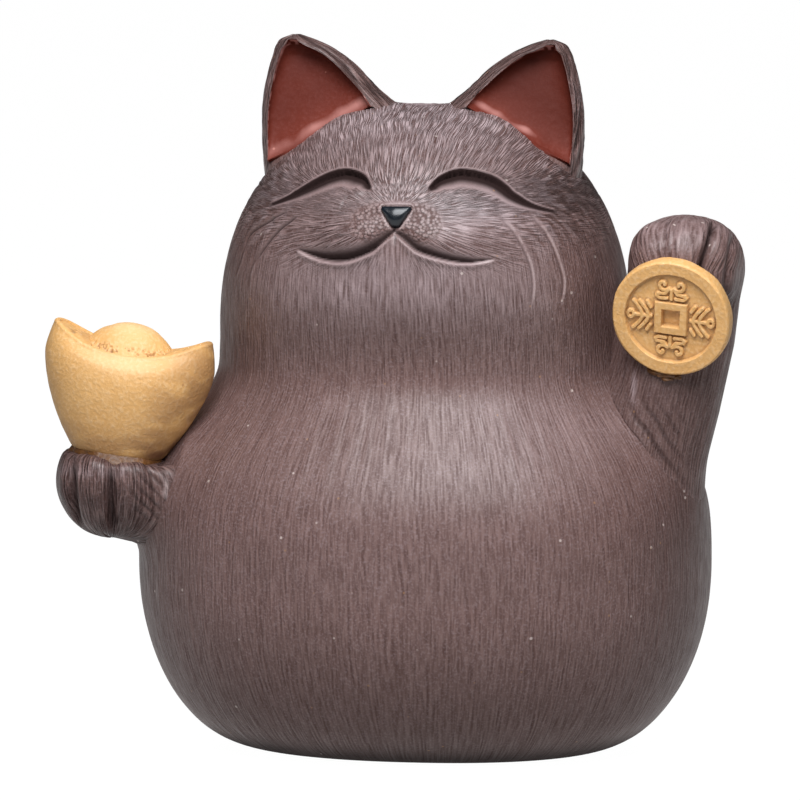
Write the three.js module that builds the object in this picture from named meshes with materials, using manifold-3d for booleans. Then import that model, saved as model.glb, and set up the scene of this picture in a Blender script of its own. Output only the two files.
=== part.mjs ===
// A seated lucky cat with a raised coin and a boat-shaped ingot, hand built from unglazed clay.
// Millimetres, +Z up, the cat faces -Y, and the origin is the centre of the base on the table.
import * as THREE from 'three';
import { mergeVertices } from 'three/addons/utils/BufferGeometryUtils.js';
import Module from 'manifold-3d';

const wasm = await Module();
wasm.setup();

// Driving dimensions of the hollow body
const seatGap = 0.3;
const wall = 4;
const slabThickness = 3.2;
const neckHeight = 48;
const headTall = 31.3;
const roundness = 2.2;
const footCurve = 2;
const shoulderCurve = 1.7;
const crownCurve = 2.25;

// How far the clay reaches from the upright axis at the foot, belly, neck and jowl, on each side
// of the figure, with the height of the fullest belly and of the fullest jowl above the neck
const sideways = { foot: 20.8, belly: 35.4, neck: 25.4, jowl: 25.3, bellyHeight: 22.6, jowlRise: 3 };
const forwards = { foot: 14.2, belly: 29.4, neck: 20.6, jowl: 23.2, bellyHeight: 21, jowlRise: 11.5 };
const backwards = { foot: 14, belly: 27, neck: 20.2, jowl: 21.5, bellyHeight: 21, jowlRise: 9 };

// Vent in the base slab, behind the origin
const ventRadius = 3.5;
const ventBack = 7.5;

// Face: places are across from the middle and up from the neck
const muzzleOut = 1.1;
const muzzleAcross = 4.6;
const muzzleRise = 16.4;
const muzzleWidth = 4.4;
const muzzleTall = 2.6;
const eyeDepth = 0.75;
const eyeGroove = 0.85;
const eyePath = [[3.3, 22.1], [5, 23.3], [7.2, 23.6], [12, 22.1], [14.6, 20.8], [17, 19.4]];
const mouthDepth = 0.8;
const mouthGroove = 0.8;
const mouthPath = [[0, 17.5], [1.6, 16.2], [3.4, 15], [6.3, 14], [9.2, 14], [12, 14.9]];
const noseRise = 19.3;
const noseWidth = 3.9;
const noseTall = 2.4;
const noseThickness = 1.6;
const noseProud = 0.75;
const noseBevel = 0.45;

// Ears: outline at a few heights above the crown, from the outer edge to the edge beside the crown
const earOutline = [
  { above: -11.3, outer: 20.4, inner: 2, deep: 6.4 },
  { above: -5.8, outer: 20.3, inner: 2.4, deep: 5.8 },
  { above: -0.8, outer: 20, inner: 3.4, deep: 4.9 },
  { above: 3.2, outer: 19.4, inner: 6.6, deep: 3.7 },
  { above: 6.2, outer: 18.5, inner: 9.8, deep: 2.7 },
  { above: 7.9, outer: 17.2, inner: 12.6, deep: 1.6 },
];
const earTipAbove = 8.8;
const earBack = -2.4;
const earOuterRim = 1.5;
const earInnerRim = 2.6;
const earCup = 2.4;
const earCupFront = 0.45;
const liningThickness = 1.1;

// Raised arm on the cat's left, from the shoulder to the folded paw: how far beside the jowl, how
// far forward (-y) and how far above the neck the middle of the arm is, and its half sizes
const raisedPath = [
  { beside: 0.7, y: -4.6, above: -24, across: 5.6, deep: 5.6 },
  { beside: 2.9, y: -5.4, above: -14, across: 6.5, deep: 6.3 },
  { beside: 4.7, y: -6, above: -4, across: 7.2, deep: 6.6 },
  { beside: 6.5, y: -6.4, above: 4, across: 7.2, deep: 6.5 },
  { beside: 7.6, y: -6.8, above: 11, across: 7.3, deep: 6.4 },
  { beside: 8, y: -7.4, above: 18.6, across: 7.3, deep: 6.2 },
];
const raisedRound = 6.6;
const foldBeside = 7.7;
const foldY = -10.6;
const foldAbove = 12.9;
const foldHalf = [7.3, 6, 5.7];
const toeGroove = 0.7;
const raisedToes = [-0.4, 0.27];

// Forearm on the cat's right, held out with the palm up: its middle is placed from the point
// where the ingot stands on the palm
const holdingPath = [
  { from: [14.1, 5.6, -4.5], across: 7, deep: 7.2 },
  { from: [6.1, 2.8, -4.1], across: 7, deep: 7.2 },
  { from: [-1.4, 0.6, -3.2], across: 7, deep: 7.2 },
  { from: [-7.7, -0.4, -2.3], across: 6.8, deep: 7 },
];
const holdingRound = 6.8;
const holdingToes = [-0.44, 0.18];
const toeSwell = 0.1;
const toeInset = 0.4;

// Ingot seat on the palm, and the ingot itself above its own foot
const palmForward = 13.6;
const palmHeight = 36.9;
const ingotToBody = 2.1;
const ingotLean = 8.2;
const slipThickness = 0.8;
const slipSpread = 0.5;
const ingotFoot = 5.4;
const ingotFull = 10.6;
const ingotFullHeight = 10;
const ingotTip = 9.9;
const ingotTipHeight = 15.6;
const ingotSaddle = 12.8;
const ingotNarrow = 0.63;
const ingotFootNarrow = 0.72;
const ingotRim = 0.9;
const basinFloor = 10.6;
const basinHalf = 6.2;
const domeHalf = 5.1;
const domeNarrow = 0.82;
const domeTop = 16.4;

// Coin leaning forward against the raised paw, placed from the middle of the fold of the paw
const coinFromFold = [-0.8, -4.6, -5.8];
const coinRadius = 7.25;
const coinThickness = 2.2;
const coinLean = 16;
const coinTurn = -6;
const coinRim = 1.55;
const coinRecess = 0.55;
const coinFrame = 3.8;
const coinFrameDrop = 0.1;
const coinHole = 2.3;
const coinHoleDepth = 1;
const coinEdge = 0.35;
const crumbHalf = [2.2, 1.3, 1.1];

// Tail lying against the lower back: turn round the body, height, and how far it stands out
const tailPath = [
  { turn: 104, height: 12, proud: -3 },
  { turn: 94, height: 10.4, proud: 0.4 },
  { turn: 80, height: 10, proud: 1.3 },
  { turn: 66, height: 12.4, proud: 1.4 },
  { turn: 55, height: 17, proud: 1.3 },
  { turn: 50, height: 22, proud: 1.1 },
];
const tailHalf = 3.1;
const tailThinning = 0.06;

// Facets
const bodyFacets = 52;
const cavityFacets = 28;
const limbFacets = 18;
const coinFacets = 48;
const crumbFacets = 14;
const ingotFacets = 34;
const slipFacets = 28;

// Colours of the fired clays and the glaze
const clay = new THREE.MeshStandardMaterial({ color: 0x6f5c5a, roughness: 0.62, metalness: 0 });
const redClay = new THREE.MeshStandardMaterial({ color: 0x6b3a32, roughness: 0.6, metalness: 0 });
const yellowClay = new THREE.MeshStandardMaterial({ color: 0xd9a76c, roughness: 0.7, metalness: 0 });
const blackGlaze = new THREE.MeshStandardMaterial({ color: 0x141317, roughness: 0.12, metalness: 0 });

const lerp = THREE.MathUtils.lerp;
const radians = THREE.MathUtils.degToRad;

// Solids and the geometry they come from

function toSolid(geometry) {
  const bare = geometry.clone();
  bare.deleteAttribute('normal');
  bare.deleteAttribute('uv');
  const merged = mergeVertices(bare, 1e-5);
  const solid = new wasm.Manifold(new wasm.Mesh({
    numProp: 3,
    vertProperties: new Float32Array(merged.attributes.position.array),
    triVerts: new Uint32Array(merged.index.array),
  }));
  return solid;
}

function toGeometry(solid) {
  const mesh = solid.getMesh();
  const geometry = new THREE.BufferGeometry();
  geometry.setAttribute('position', new THREE.BufferAttribute(mesh.vertProperties, 3));
  geometry.setIndex(new THREE.BufferAttribute(mesh.triVerts, 1));
  geometry.computeVertexNormals();
  return geometry;
}

function volumeOf(points, faces) {
  const [a, b, c] = [new THREE.Vector3(), new THREE.Vector3(), new THREE.Vector3()];
  let total = 0;
  for (let i = 0; i < faces.length; i += 3) {
    a.fromArray(points, 3 * faces[i]);
    b.fromArray(points, 3 * faces[i + 1]);
    c.fromArray(points, 3 * faces[i + 2]);
    total += a.dot(b.cross(c)) / 6;
  }
  return total;
}

// A closed solid through a stack of rings with equally many points, closed by a fan at each end
function loft(rings) {
  const count = rings[0].length;
  const points = rings.flat().flatMap((p) => [p.x, p.y, p.z]);
  const faces = [];
  for (let level = 0; level + 1 < rings.length; level += 1) {
    for (let i = 0; i < count; i += 1) {
      const a = level * count + i;
      const b = level * count + ((i + 1) % count);
      faces.push(a, b, b + count, a, b + count, a + count);
    }
  }
  const ends = [rings[0], rings[rings.length - 1]];
  ends.forEach((ring, end) => {
    const middle = ring.reduce((sum, p) => sum.add(p), new THREE.Vector3()).divideScalar(count);
    const hub = points.length / 3;
    points.push(middle.x, middle.y, middle.z);
    const first = end === 0 ? 0 : (rings.length - 1) * count;
    for (let i = 0; i < count; i += 1) {
      const a = first + i;
      const b = first + ((i + 1) % count);
      faces.push(...(end === 0 ? [hub, b, a] : [hub, a, b]));
    }
  });
  if (volumeOf(points, faces) < 0) faces.reverse();
  const geometry = new THREE.BufferGeometry();
  geometry.setAttribute('position', new THREE.Float32BufferAttribute(points, 3));
  geometry.setIndex(faces);
  return geometry;
}

// Body form

const crownHeight = neckHeight + headTall;

// Reach of the clay from the axis on one side at a height, grown outwards by a clearance
function reach(side, height, grow = 0) {
  const top = crownHeight + grow;
  const jowlHeight = neckHeight + side.jowlRise;
  const [foot, belly, neck, jowl] = [side.foot, side.belly, side.neck, side.jowl].map((r) => r + grow);
  if (height <= side.bellyHeight) {
    const up = THREE.MathUtils.clamp(height / side.bellyHeight, 0, 1);
    return foot + (belly - foot) * (1 - (1 - up) ** footCurve) ** (1 / footCurve);
  }
  if (height <= neckHeight) {
    const up = ((height - side.bellyHeight) / (neckHeight - side.bellyHeight)) ** shoulderCurve;
    return neck + (belly - neck) * (0.5 + 0.5 * Math.cos(Math.PI * up));
  }
  if (height <= jowlHeight) {
    const up = (height - neckHeight) / side.jowlRise;
    return neck + (jowl - neck) * (0.5 - 0.5 * Math.cos(Math.PI * up));
  }
  const up = Math.min((height - jowlHeight) / (top - jowlHeight), 1);
  return jowl * (1 - up ** crownCurve) ** (1 / crownCurve);
}

// Point on the body at an angle round it, counted from +X, and a height
function bodyPoint(angle, height, grow = 0) {
  const [c, s] = [Math.cos(angle), Math.sin(angle)];
  const across = reach(sideways, height, grow);
  const deep = reach(s < 0 ? forwards : backwards, height, grow);
  const x = across * Math.sign(c) * Math.abs(c) ** (2 / roundness);
  const y = deep * Math.sign(s) * Math.abs(s) ** (2 / roundness);
  return new THREE.Vector3(x, y, height);
}

function bodyRing(height, grow, count) {
  const angles = Array.from({ length: count }, (_, i) => (2 * Math.PI * i) / count);
  return angles.map((angle) => bodyPoint(angle, height, grow));
}

// Heights that step closely where the outline turns: at the foot and over the crown
function heightsBetween(low, high, steps) {
  return Array.from({ length: steps + 1 }, (_, i) => lerp(low, high, i / steps));
}

function heightsOverCrown(low, high, steps) {
  return Array.from({ length: steps + 1 }, (_, i) => {
    const turn = (Math.PI / 2) * (i / steps);
    return low + (high - low) * Math.sin(turn);
  });
}

function muzzleBulge(x, height) {
  const up = (height - neckHeight - muzzleRise) / muzzleTall;
  const side = (Math.abs(x) - muzzleAcross) / muzzleWidth;
  return muzzleOut * Math.exp(-0.5 * (up * up + side * side));
}

// Half width of the body at a height, measured at a place in front of the axis
function bodyEdge(forward, height) {
  const share = Math.min(forward / reach(forwards, height), 1);
  return reach(sideways, height) * (1 - share ** roundness) ** (1 / roundness);
}

// Depth of the face in front of the axis at a place across and up
function faceDepth(x, height) {
  const share = Math.min(Math.abs(x / reach(sideways, height)), 1);
  const depth = reach(forwards, height) * (1 - share ** roundness) ** (1 / roundness);
  return depth + muzzleBulge(x, height);
}

function facePoint(x, height, out = 0) {
  const step = 0.05;
  const at = new THREE.Vector3(x, -faceDepth(x, height), height);
  const acrossward = new THREE.Vector3(step, -faceDepth(x + step, height) - at.y, 0);
  const upward = new THREE.Vector3(0, -faceDepth(x, height + step) - at.y, step);
  const normal = acrossward.cross(upward).normalize();
  return { at: at.addScaledVector(normal, out), normal };
}

// Body shells

function envelope(grow) {
  const low = heightsBetween(0, neckHeight, 13);
  const high = heightsOverCrown(neckHeight, crownHeight + grow * 0.98, 12).slice(1);
  const rings = [...low, ...high].map((height) => bodyRing(height, grow, bodyFacets));
  return toSolid(loft(rings));
}

function cavity() {
  const low = heightsBetween(slabThickness, neckHeight, 8);
  low[0] = 0.5;
  const high = heightsOverCrown(neckHeight, crownHeight - wall * 1.02, 7).slice(1);
  const rings = [...low, ...high].map((height) => bodyRing(height, -wall, cavityFacets));
  return toSolid(loft(rings));
}

function torsoForm() {
  const rise = forwards.bellyHeight - slabThickness;
  const low = heightsBetween(0, 1, 8).map((share) => slabThickness + rise * share ** 1.4);
  const high = heightsBetween(forwards.bellyHeight, neckHeight, 9).slice(1);
  const rings = [...low, ...high].map((height) => bodyRing(height, 0, bodyFacets));
  return toSolid(loft(rings));
}

function headForm() {
  const rings = heightsOverCrown(neckHeight, crownHeight * 0.9998, 18).map((height) => {
    const ring = bodyRing(height, 0, bodyFacets);
    ring.forEach((p) => {
      if (p.y < 0) p.y -= muzzleBulge(p.x, height) * Math.min(-p.y / reach(forwards, height), 1);
    });
    return ring;
  });
  return toSolid(loft(rings));
}

function baseSlab() {
  const heights = heightsBetween(0, 1, 4).map((share) => slabThickness * share ** 1.5);
  const rings = heights.map((height) => bodyRing(height, 0, bodyFacets));
  const vent = new THREE.CylinderGeometry(ventRadius, ventRadius, 4 * slabThickness, 28);
  vent.rotateX(Math.PI / 2);
  vent.translate(0, ventBack, 0);
  return toSolid(loft(rings)).subtract(toSolid(vent));
}

// A tapering groove cutter that follows the face along places across and up
function faceGroove(places, depth, half, mirror) {
  const points = places.map(([x, rise]) => new THREE.Vector3(x * mirror, 0, neckHeight + rise));
  const curve = new THREE.CatmullRomCurve3(points);
  const steps = 11;
  const sides = 7;
  const rings = [];
  for (let i = 0; i <= steps; i += 1) {
    const t = i / steps;
    const flat = curve.getPoint(t);
    const ahead = curve.getTangent(t);
    const thick = half * (0.18 + 0.82 * Math.sin(Math.PI * Math.min(t * 1.15 + 0.03, 1)) ** 0.7);
    const { at, normal } = facePoint(flat.x, flat.z, thick - depth * (thick / half));
    const aside = new THREE.Vector3().crossVectors(ahead, normal).normalize();
    rings.push(Array.from({ length: sides }, (_, k) => {
      const turn = (2 * Math.PI * k) / sides;
      const beside = at.clone().addScaledVector(aside, thick * Math.cos(turn));
      return beside.addScaledVector(normal, thick * Math.sin(turn));
    }));
  }
  return toSolid(loft(rings));
}

// Rounded, upside-down triangle of the nose, set square to the face
function noseBead(grow) {
  const half = noseWidth / 2;
  const bevel = noseBevel;
  const shape = new THREE.Shape();
  shape.moveTo(-half + bevel, noseTall / 2 - bevel);
  shape.lineTo(half - bevel, noseTall / 2 - bevel);
  shape.quadraticCurveTo(half * 0.55, -noseTall * 0.2, half * 0.16, -noseTall / 2 + bevel);
  shape.lineTo(-half * 0.16, -noseTall / 2 + bevel);
  shape.quadraticCurveTo(-half * 0.55, -noseTall * 0.2, -half + bevel, noseTall / 2 - bevel);
  const bead = new THREE.ExtrudeGeometry(shape, {
    depth: noseThickness - 2 * bevel,
    bevelThickness: bevel + grow,
    bevelSize: bevel + grow,
    bevelSegments: 3,
    curveSegments: 4,
  });
  bead.translate(0, 0, -noseThickness + bevel + noseProud);
  const { at, normal } = facePoint(0, neckHeight + noseRise);
  const upright = new THREE.Vector3().crossVectors(normal, new THREE.Vector3(1, 0, 0)).normalize();
  const basis = new THREE.Matrix4().makeBasis(new THREE.Vector3(1, 0, 0), upright, normal);
  bead.applyMatrix4(basis.setPosition(at));
  return toSolid(bead);
}

// Ears

const earFoot = crownHeight + earOutline[0].above;
const earShoulder = crownHeight + earOutline[earOutline.length - 1].above;
const earTip = crownHeight + earTipAbove;

function earAt(height) {
  const above = height - crownHeight;
  const last = earOutline[earOutline.length - 1];
  if (above >= last.above) return last;
  const i = Math.max(earOutline.findIndex((row) => row.above > above), 1);
  const [a, b] = [earOutline[i - 1], earOutline[i]];
  const share = THREE.MathUtils.clamp((above - a.above) / (b.above - a.above), 0, 1);
  return {
    outer: lerp(a.outer, b.outer, share),
    inner: lerp(a.inner, b.inner, share),
    deep: lerp(a.deep, b.deep, share),
  };
}

function earForm(mirror) {
  const heights = heightsBetween(earFoot, earShoulder, 11);
  const rings = heights.map((height) => {
    const { outer, inner, deep } = earAt(height);
    return earRing((outer + inner) / 2, (outer - inner) / 2, deep, height, mirror);
  });
  const last = earOutline[earOutline.length - 1];
  const middle = (last.outer + last.inner) / 2;
  const halfTip = (last.outer - last.inner) / 2;
  rings.push(earRing(middle, halfTip * 0.66, last.deep * 0.66, lerp(earShoulder, earTip, 0.6), mirror));
  rings.push(earRing(middle, halfTip * 0.25, last.deep * 0.25, earTip, mirror));
  return toSolid(loft(rings));
}

function earRing(middle, half, deep, height, mirror) {
  const count = 22;
  return Array.from({ length: count }, (_, i) => {
    const turn = (2 * Math.PI * i) / count;
    const x = middle + half * Math.cos(turn);
    return new THREE.Vector3(x * mirror, earBack + deep * Math.sin(turn), height);
  });
}

// Cutter for the cupped front of an ear: open to the front, with a rounded hollow behind it
function earCupCutter(depth, inset, mirror) {
  const heights = heightsBetween(earFoot + 1, earTip - earOuterRim - inset, 9);
  const count = 12;
  const rings = heights.map((height) => {
    const { outer, inner, deep } = earAt(height + inset);
    const high = outer - earOuterRim - inset;
    const low = Math.min(inner + earInnerRim + inset, high - 0.4);
    const half = (high - low) / 2;
    const front = earBack - deep * earCupFront;
    const open = front - 2 * earOutline[0].deep;
    const narrowing = Math.min(half / 3, 1);
    const ring = Array.from({ length: count + 1 }, (_, i) => {
      const turn = (Math.PI * i) / count;
      const x = (high + low) / 2 + half * Math.cos(turn);
      return new THREE.Vector3(x * mirror, front + depth * narrowing * Math.sin(turn), height);
    });
    ring.push(new THREE.Vector3(low * mirror, open, height));
    ring.push(new THREE.Vector3(high * mirror, open, height));
    return ring;
  });
  return toSolid(loft(rings));
}

// Limbs

// A closed limb of elliptical section along a smooth path, rounded at its far end
function limb(path, roundEnd, facing, grow = 0) {
  const curve = new THREE.CatmullRomCurve3(path.map((row) => new THREE.Vector3(...row.at)));
  const length = curve.getLength();
  const straight = 1 - roundEnd / length;
  const shares = [];
  for (let i = 0; i <= 10; i += 1) shares.push({ t: (straight * i) / 10, size: 1 });
  for (let i = 1; i <= 6; i += 1) {
    const turn = (Math.PI / 2) * (i / 6.3);
    shares.push({ t: straight + (1 - straight) * Math.sin(turn), size: Math.cos(turn) });
  }
  const rings = shares.map(({ t, size }) => {
    const at = curve.getPointAt(t);
    const ahead = curve.getTangentAt(t);
    const aside = new THREE.Vector3().crossVectors(ahead, facing).normalize();
    const front = new THREE.Vector3().crossVectors(aside, ahead).normalize();
    const place = t * (path.length - 1);
    const i = Math.min(Math.floor(place), path.length - 2);
    const across = lerp(path[i].across, path[i + 1].across, place - i) * size + grow;
    const deep = lerp(path[i].deep, path[i + 1].deep, place - i) * size + grow;
    return Array.from({ length: limbFacets }, (_, k) => {
      const turn = (2 * Math.PI * k) / limbFacets;
      const beside = at.clone().addScaledVector(aside, across * Math.cos(turn));
      return beside.addScaledVector(front, deep * Math.sin(turn));
    });
  });
  return toSolid(loft(rings));
}

function ball(centre, half, facets) {
  const form = new THREE.SphereGeometry(1, facets, Math.round(facets * 0.65));
  form.scale(...half);
  form.translate(...centre);
  return toSolid(form);
}

// A thin groove between two toes, bent over the front of a paw
function toeCutter(centre, half, x) {
  const arc = [];
  for (let i = 0; i <= 8; i += 1) {
    const turn = lerp(-0.15, 0.52, i / 8) * Math.PI;
    const shrink = Math.sqrt(Math.max(1 - ((x - centre[0]) / half[0]) ** 2, 0.1));
    const y = centre[1] - half[1] * shrink * Math.cos(turn);
    const z = centre[2] + half[2] * shrink * Math.sin(turn);
    arc.push(new THREE.Vector3(x, y, z));
  }
  const curve = new THREE.CatmullRomCurve3(arc);
  const groove = new THREE.Shape();
  groove.absarc(0, 0, toeGroove, 0, 2 * Math.PI);
  const cutter = new THREE.ExtrudeGeometry(groove, { extrudePath: curve, steps: 8, curveSegments: 3 });
  return toSolid(cutter);
}

// Coin, drawn upright about its own centre with its face towards -Y

const foldCentre = [sideways.jowl + foldBeside, foldY, neckHeight + foldAbove];

const coinPlace = new THREE.Matrix4().compose(
  new THREE.Vector3(...foldCentre).add(new THREE.Vector3(...coinFromFold)),
  new THREE.Quaternion().setFromEuler(new THREE.Euler(radians(coinLean), radians(-coinTurn), 0, 'XYZ')),
  new THREE.Vector3(1, 1, 1),
);

function coinDisc(radius, thickness) {
  return new THREE.CylinderGeometry(radius, radius, thickness, coinFacets);
}

function coinForm() {
  const half = coinThickness / 2;
  const outline = [
    [0, -half], [coinRadius - coinEdge, -half], [coinRadius, -half + coinEdge],
    [coinRadius, half - coinEdge], [coinRadius - coinEdge, half], [0, half],
  ];
  const blank = new THREE.LatheGeometry(outline.map(([r, y]) => new THREE.Vector2(r, y)), coinFacets);
  let coin = toSolid(blank);
  const recess = coinDisc(coinRadius - coinRim, 2 * coinRecess);
  recess.translate(0, -half, 0);
  coin = coin.subtract(toSolid(recess));
  const frame = new THREE.BoxGeometry(coinFrame, coinRecess, coinFrame);
  frame.translate(0, -half + coinFrameDrop + coinRecess / 2, 0);
  coin = coin.add(toSolid(frame));
  const hole = new THREE.BoxGeometry(coinHole, 2 * coinHoleDepth, coinHole);
  hole.translate(0, -half, 0);
  return coin.subtract(toSolid(hole));
}

// Ingot, drawn upright above its own foot

function ingotRing(half, narrow, height, lift, count = ingotFacets) {
  return Array.from({ length: count }, (_, i) => {
    const turn = (2 * Math.PI * i) / count;
    const c = Math.cos(turn);
    return new THREE.Vector3(half * c, narrow * Math.sin(turn), height + lift * Math.abs(c) ** 2.2);
  });
}

// Half length of the boat from its foot, at share 0, up to its fullest height, at share 1
function boatHalf(share) {
  return lerp(ingotFoot, ingotFull, 1 - (1 - share) ** 1.5);
}

function ingotBoat() {
  const lift = ingotTipHeight - ingotSaddle;
  const rings = [];
  for (let i = 0; i <= 8; i += 1) {
    const half = boatHalf(i / 8);
    const height = ingotFullHeight * (i / 8);
    const narrow = half * lerp(ingotFootNarrow, ingotNarrow, i / 8);
    rings.push(ingotRing(half, narrow, height, lift * (height / ingotSaddle) ** 2));
  }
  for (let i = 1; i <= 4; i += 1) {
    const height = lerp(ingotFullHeight, ingotSaddle, i / 4);
    const half = lerp(ingotFull, ingotTip, (i / 4) ** 1.6);
    rings.push(ingotRing(half, half * ingotNarrow, height, lift * (height / ingotSaddle) ** 2));
  }
  const rimHalf = ingotTip - ingotRim;
  const rimNarrow = ingotTip * ingotNarrow - ingotRim;
  const basinNarrow = rimNarrow - ingotRim;
  rings.push(ingotRing(rimHalf, rimNarrow, ingotSaddle - 0.1, lift * 0.9));
  rings.push(ingotRing(lerp(rimHalf, basinHalf, 0.6), lerp(rimNarrow, basinNarrow, 0.6),
    lerp(ingotSaddle, basinFloor, 0.55), lift * 0.25));
  rings.push(ingotRing(basinHalf, basinNarrow, basinFloor, 0));
  return toSolid(loft(rings));
}

function ingotDome() {
  const low = basinFloor + seatGap;
  const dome = ball([0, 0, low], [domeHalf, domeHalf * domeNarrow, domeTop - low], 28);
  const keep = new THREE.BoxGeometry(4 * domeHalf, 4 * domeHalf, 2 * domeTop);
  keep.translate(0, 0, low + domeTop);
  return dome.intersect(toSolid(keep));
}

function ingotSlip() {
  const half = ingotFoot + slipSpread;
  const rings = [0, 0.5, 1].map((share) => {
    const bulge = 0.35 * Math.sin(Math.PI * share);
    const height = -slipThickness - seatGap + slipThickness * share;
    return ingotRing(half + bulge, half * ingotFootNarrow + bulge, height, 0, slipFacets);
  });
  return toSolid(loft(rings)).transform(ingotPlace.elements).subtract(bodyWithGap);
}

// The ingot stands on the palm so far out that its side clears the body at every height
function seatOut() {
  const outs = heightsBetween(0, 1, 8).map((share) => {
    return bodyEdge(palmForward, palmHeight + ingotFullHeight * share) + boatHalf(share);
  });
  return Math.max(...outs) + ingotToBody;
}

const ingotSeat = [-seatOut(), -palmForward, palmHeight];

const ingotPlace = new THREE.Matrix4().compose(
  new THREE.Vector3(...ingotSeat),
  new THREE.Quaternion().setFromEuler(new THREE.Euler(0, radians(ingotLean), 0)),
  new THREE.Vector3(1, 1, 1),
);

function palmCutter() {
  const size = 3 * ingotFull;
  const above = new THREE.BoxGeometry(2 * size, 2 * size, size);
  above.translate(0, 0, size / 2 - slipThickness - 2 * seatGap);
  above.applyMatrix4(ingotPlace);
  return toSolid(above);
}

// Arms and tail, each cut back to the body it is luted on

const bodyWithGap = envelope(seatGap);

function raisedArm() {
  const path = raisedPath.map((row) => {
    return { ...row, at: [sideways.jowl + row.beside, row.y, neckHeight + row.above] };
  });
  const arm = limb(path, raisedRound, new THREE.Vector3(0, -1, 0));
  let paw = arm.add(ball(foldCentre, foldHalf, 20));
  for (const share of raisedToes) {
    paw = paw.subtract(toeCutter(foldCentre, foldHalf, foldCentre[0] + share * foldHalf[0]));
  }
  const pocket = coinDisc(coinRadius + seatGap, coinThickness + 2 * seatGap);
  pocket.applyMatrix4(coinPlace);
  const crumb = ball(crumbCentre(), crumbHalf.map((h) => h + seatGap), crumbFacets);
  return paw.subtract(toSolid(pocket)).subtract(crumb).subtract(bodyWithGap);
}

function holdingArm() {
  const path = holdingPath.map((row) => ({ ...row, at: ingotSeat.map((place, i) => place + row.from[i]) }));
  let paw = limb(path, holdingRound, new THREE.Vector3(0, 0, 1));
  const last = path[path.length - 1];
  const centre = [last.at[0] + holdingRound, last.at[1] + toeInset, last.at[2] - toeInset];
  const half = [holdingRound + 6 * toeSwell, last.across + toeSwell, last.deep + toeSwell];
  for (const share of holdingToes) {
    paw = paw.subtract(toeCutter(centre, half, centre[0] + share * half[0]));
  }
  return paw.subtract(palmCutter()).subtract(bodyWithGap);
}

// Slip that squeezed out at the coin's lower edge, between the coin and the forearm
function crumbCentre() {
  const low = new THREE.Vector3(-coinRadius * 0.35, coinThickness / 2, -coinRadius * 0.93);
  return low.applyMatrix4(coinPlace).toArray();
}

function coinSlip() {
  const disc = coinDisc(coinRadius + seatGap, coinThickness + 2 * seatGap);
  disc.applyMatrix4(coinPlace);
  return ball(crumbCentre(), crumbHalf, crumbFacets).subtract(toSolid(disc));
}

function tail() {
  const path = tailPath.map((row, i) => {
    const at = bodyPoint(radians(row.turn), row.height, row.proud);
    const size = tailHalf * (1 - tailThinning * i);
    return { at: at.toArray(), across: size, deep: size };
  });
  return limb(path, tailHalf, new THREE.Vector3(0, 0, 1)).subtract(bodyWithGap);
}

// Assembly

const figure = new THREE.Group();

function place(name, solid, material, parent = figure) {
  const mesh = new THREE.Mesh(toGeometry(solid), material);
  mesh.name = name;
  parent.add(mesh);
  return mesh;
}

const hollow = cavity();
place('base_slab', baseSlab(), clay);
place('torso', torsoForm().subtract(hollow), clay);

let head = headForm().subtract(hollow);
for (const mirror of [-1, 1]) {
  head = head.subtract(faceGroove(eyePath, eyeDepth, eyeGroove, mirror));
  head = head.subtract(faceGroove(mouthPath, mouthDepth, mouthGroove, mirror));
}
place('head', head.subtract(noseBead(seatGap)), clay);
place('nose', noseBead(0), blackGlaze);

for (const [name, mirror] of [['right_ear', -1], ['left_ear', 1]]) {
  const ear = earForm(mirror);
  place(name, ear.subtract(earCupCutter(earCup, 0, mirror)).subtract(bodyWithGap), clay);
  const lining = ear.intersect(earCupCutter(earCup, seatGap, mirror).translate([0, -seatGap, 0]));
  const scoop = earCupCutter(earCup, seatGap, mirror).translate([0, -seatGap - liningThickness, 0]);
  const hollowed = lining.subtract(scoop);
  place(`${name}_lining`, hollowed.subtract(bodyWithGap), redClay);
}

place('raised_arm', raisedArm(), clay);
place('holding_arm', holdingArm(), clay);
place('tail', tail(), clay);

const ingot = new THREE.Group();
ingot.applyMatrix4(ingotPlace);
place('ingot_boat', ingotBoat(), yellowClay, ingot);
place('ingot_dome', ingotDome(), yellowClay, ingot);
figure.add(ingot);
place('ingot_slip', ingotSlip(), yellowClay);

const coin = new THREE.Group();
coin.applyMatrix4(coinPlace);
place('coin', coinForm(), yellowClay, coin);
figure.add(coin);
place('coin_slip', coinSlip(), yellowClay);

export default figure;
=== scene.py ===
import itertools
import math

import bpy
import numpy as np
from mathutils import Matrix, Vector


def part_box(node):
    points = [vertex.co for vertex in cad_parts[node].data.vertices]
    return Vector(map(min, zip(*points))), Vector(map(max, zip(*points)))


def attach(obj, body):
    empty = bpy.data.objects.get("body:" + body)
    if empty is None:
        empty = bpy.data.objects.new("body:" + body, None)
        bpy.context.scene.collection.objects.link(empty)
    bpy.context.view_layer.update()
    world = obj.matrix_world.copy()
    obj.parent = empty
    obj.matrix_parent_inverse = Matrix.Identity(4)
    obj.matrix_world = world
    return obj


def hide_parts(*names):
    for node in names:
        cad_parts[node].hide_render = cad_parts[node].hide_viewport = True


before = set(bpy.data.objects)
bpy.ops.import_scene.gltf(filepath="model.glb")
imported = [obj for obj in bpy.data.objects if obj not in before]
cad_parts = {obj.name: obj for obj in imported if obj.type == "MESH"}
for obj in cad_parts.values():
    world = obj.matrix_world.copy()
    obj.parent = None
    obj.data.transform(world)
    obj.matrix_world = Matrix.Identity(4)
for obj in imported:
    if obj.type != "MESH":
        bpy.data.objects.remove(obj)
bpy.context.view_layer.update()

# Shapes are worked out in millimetres, and MM turns them into metres
MM = 0.001

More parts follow.
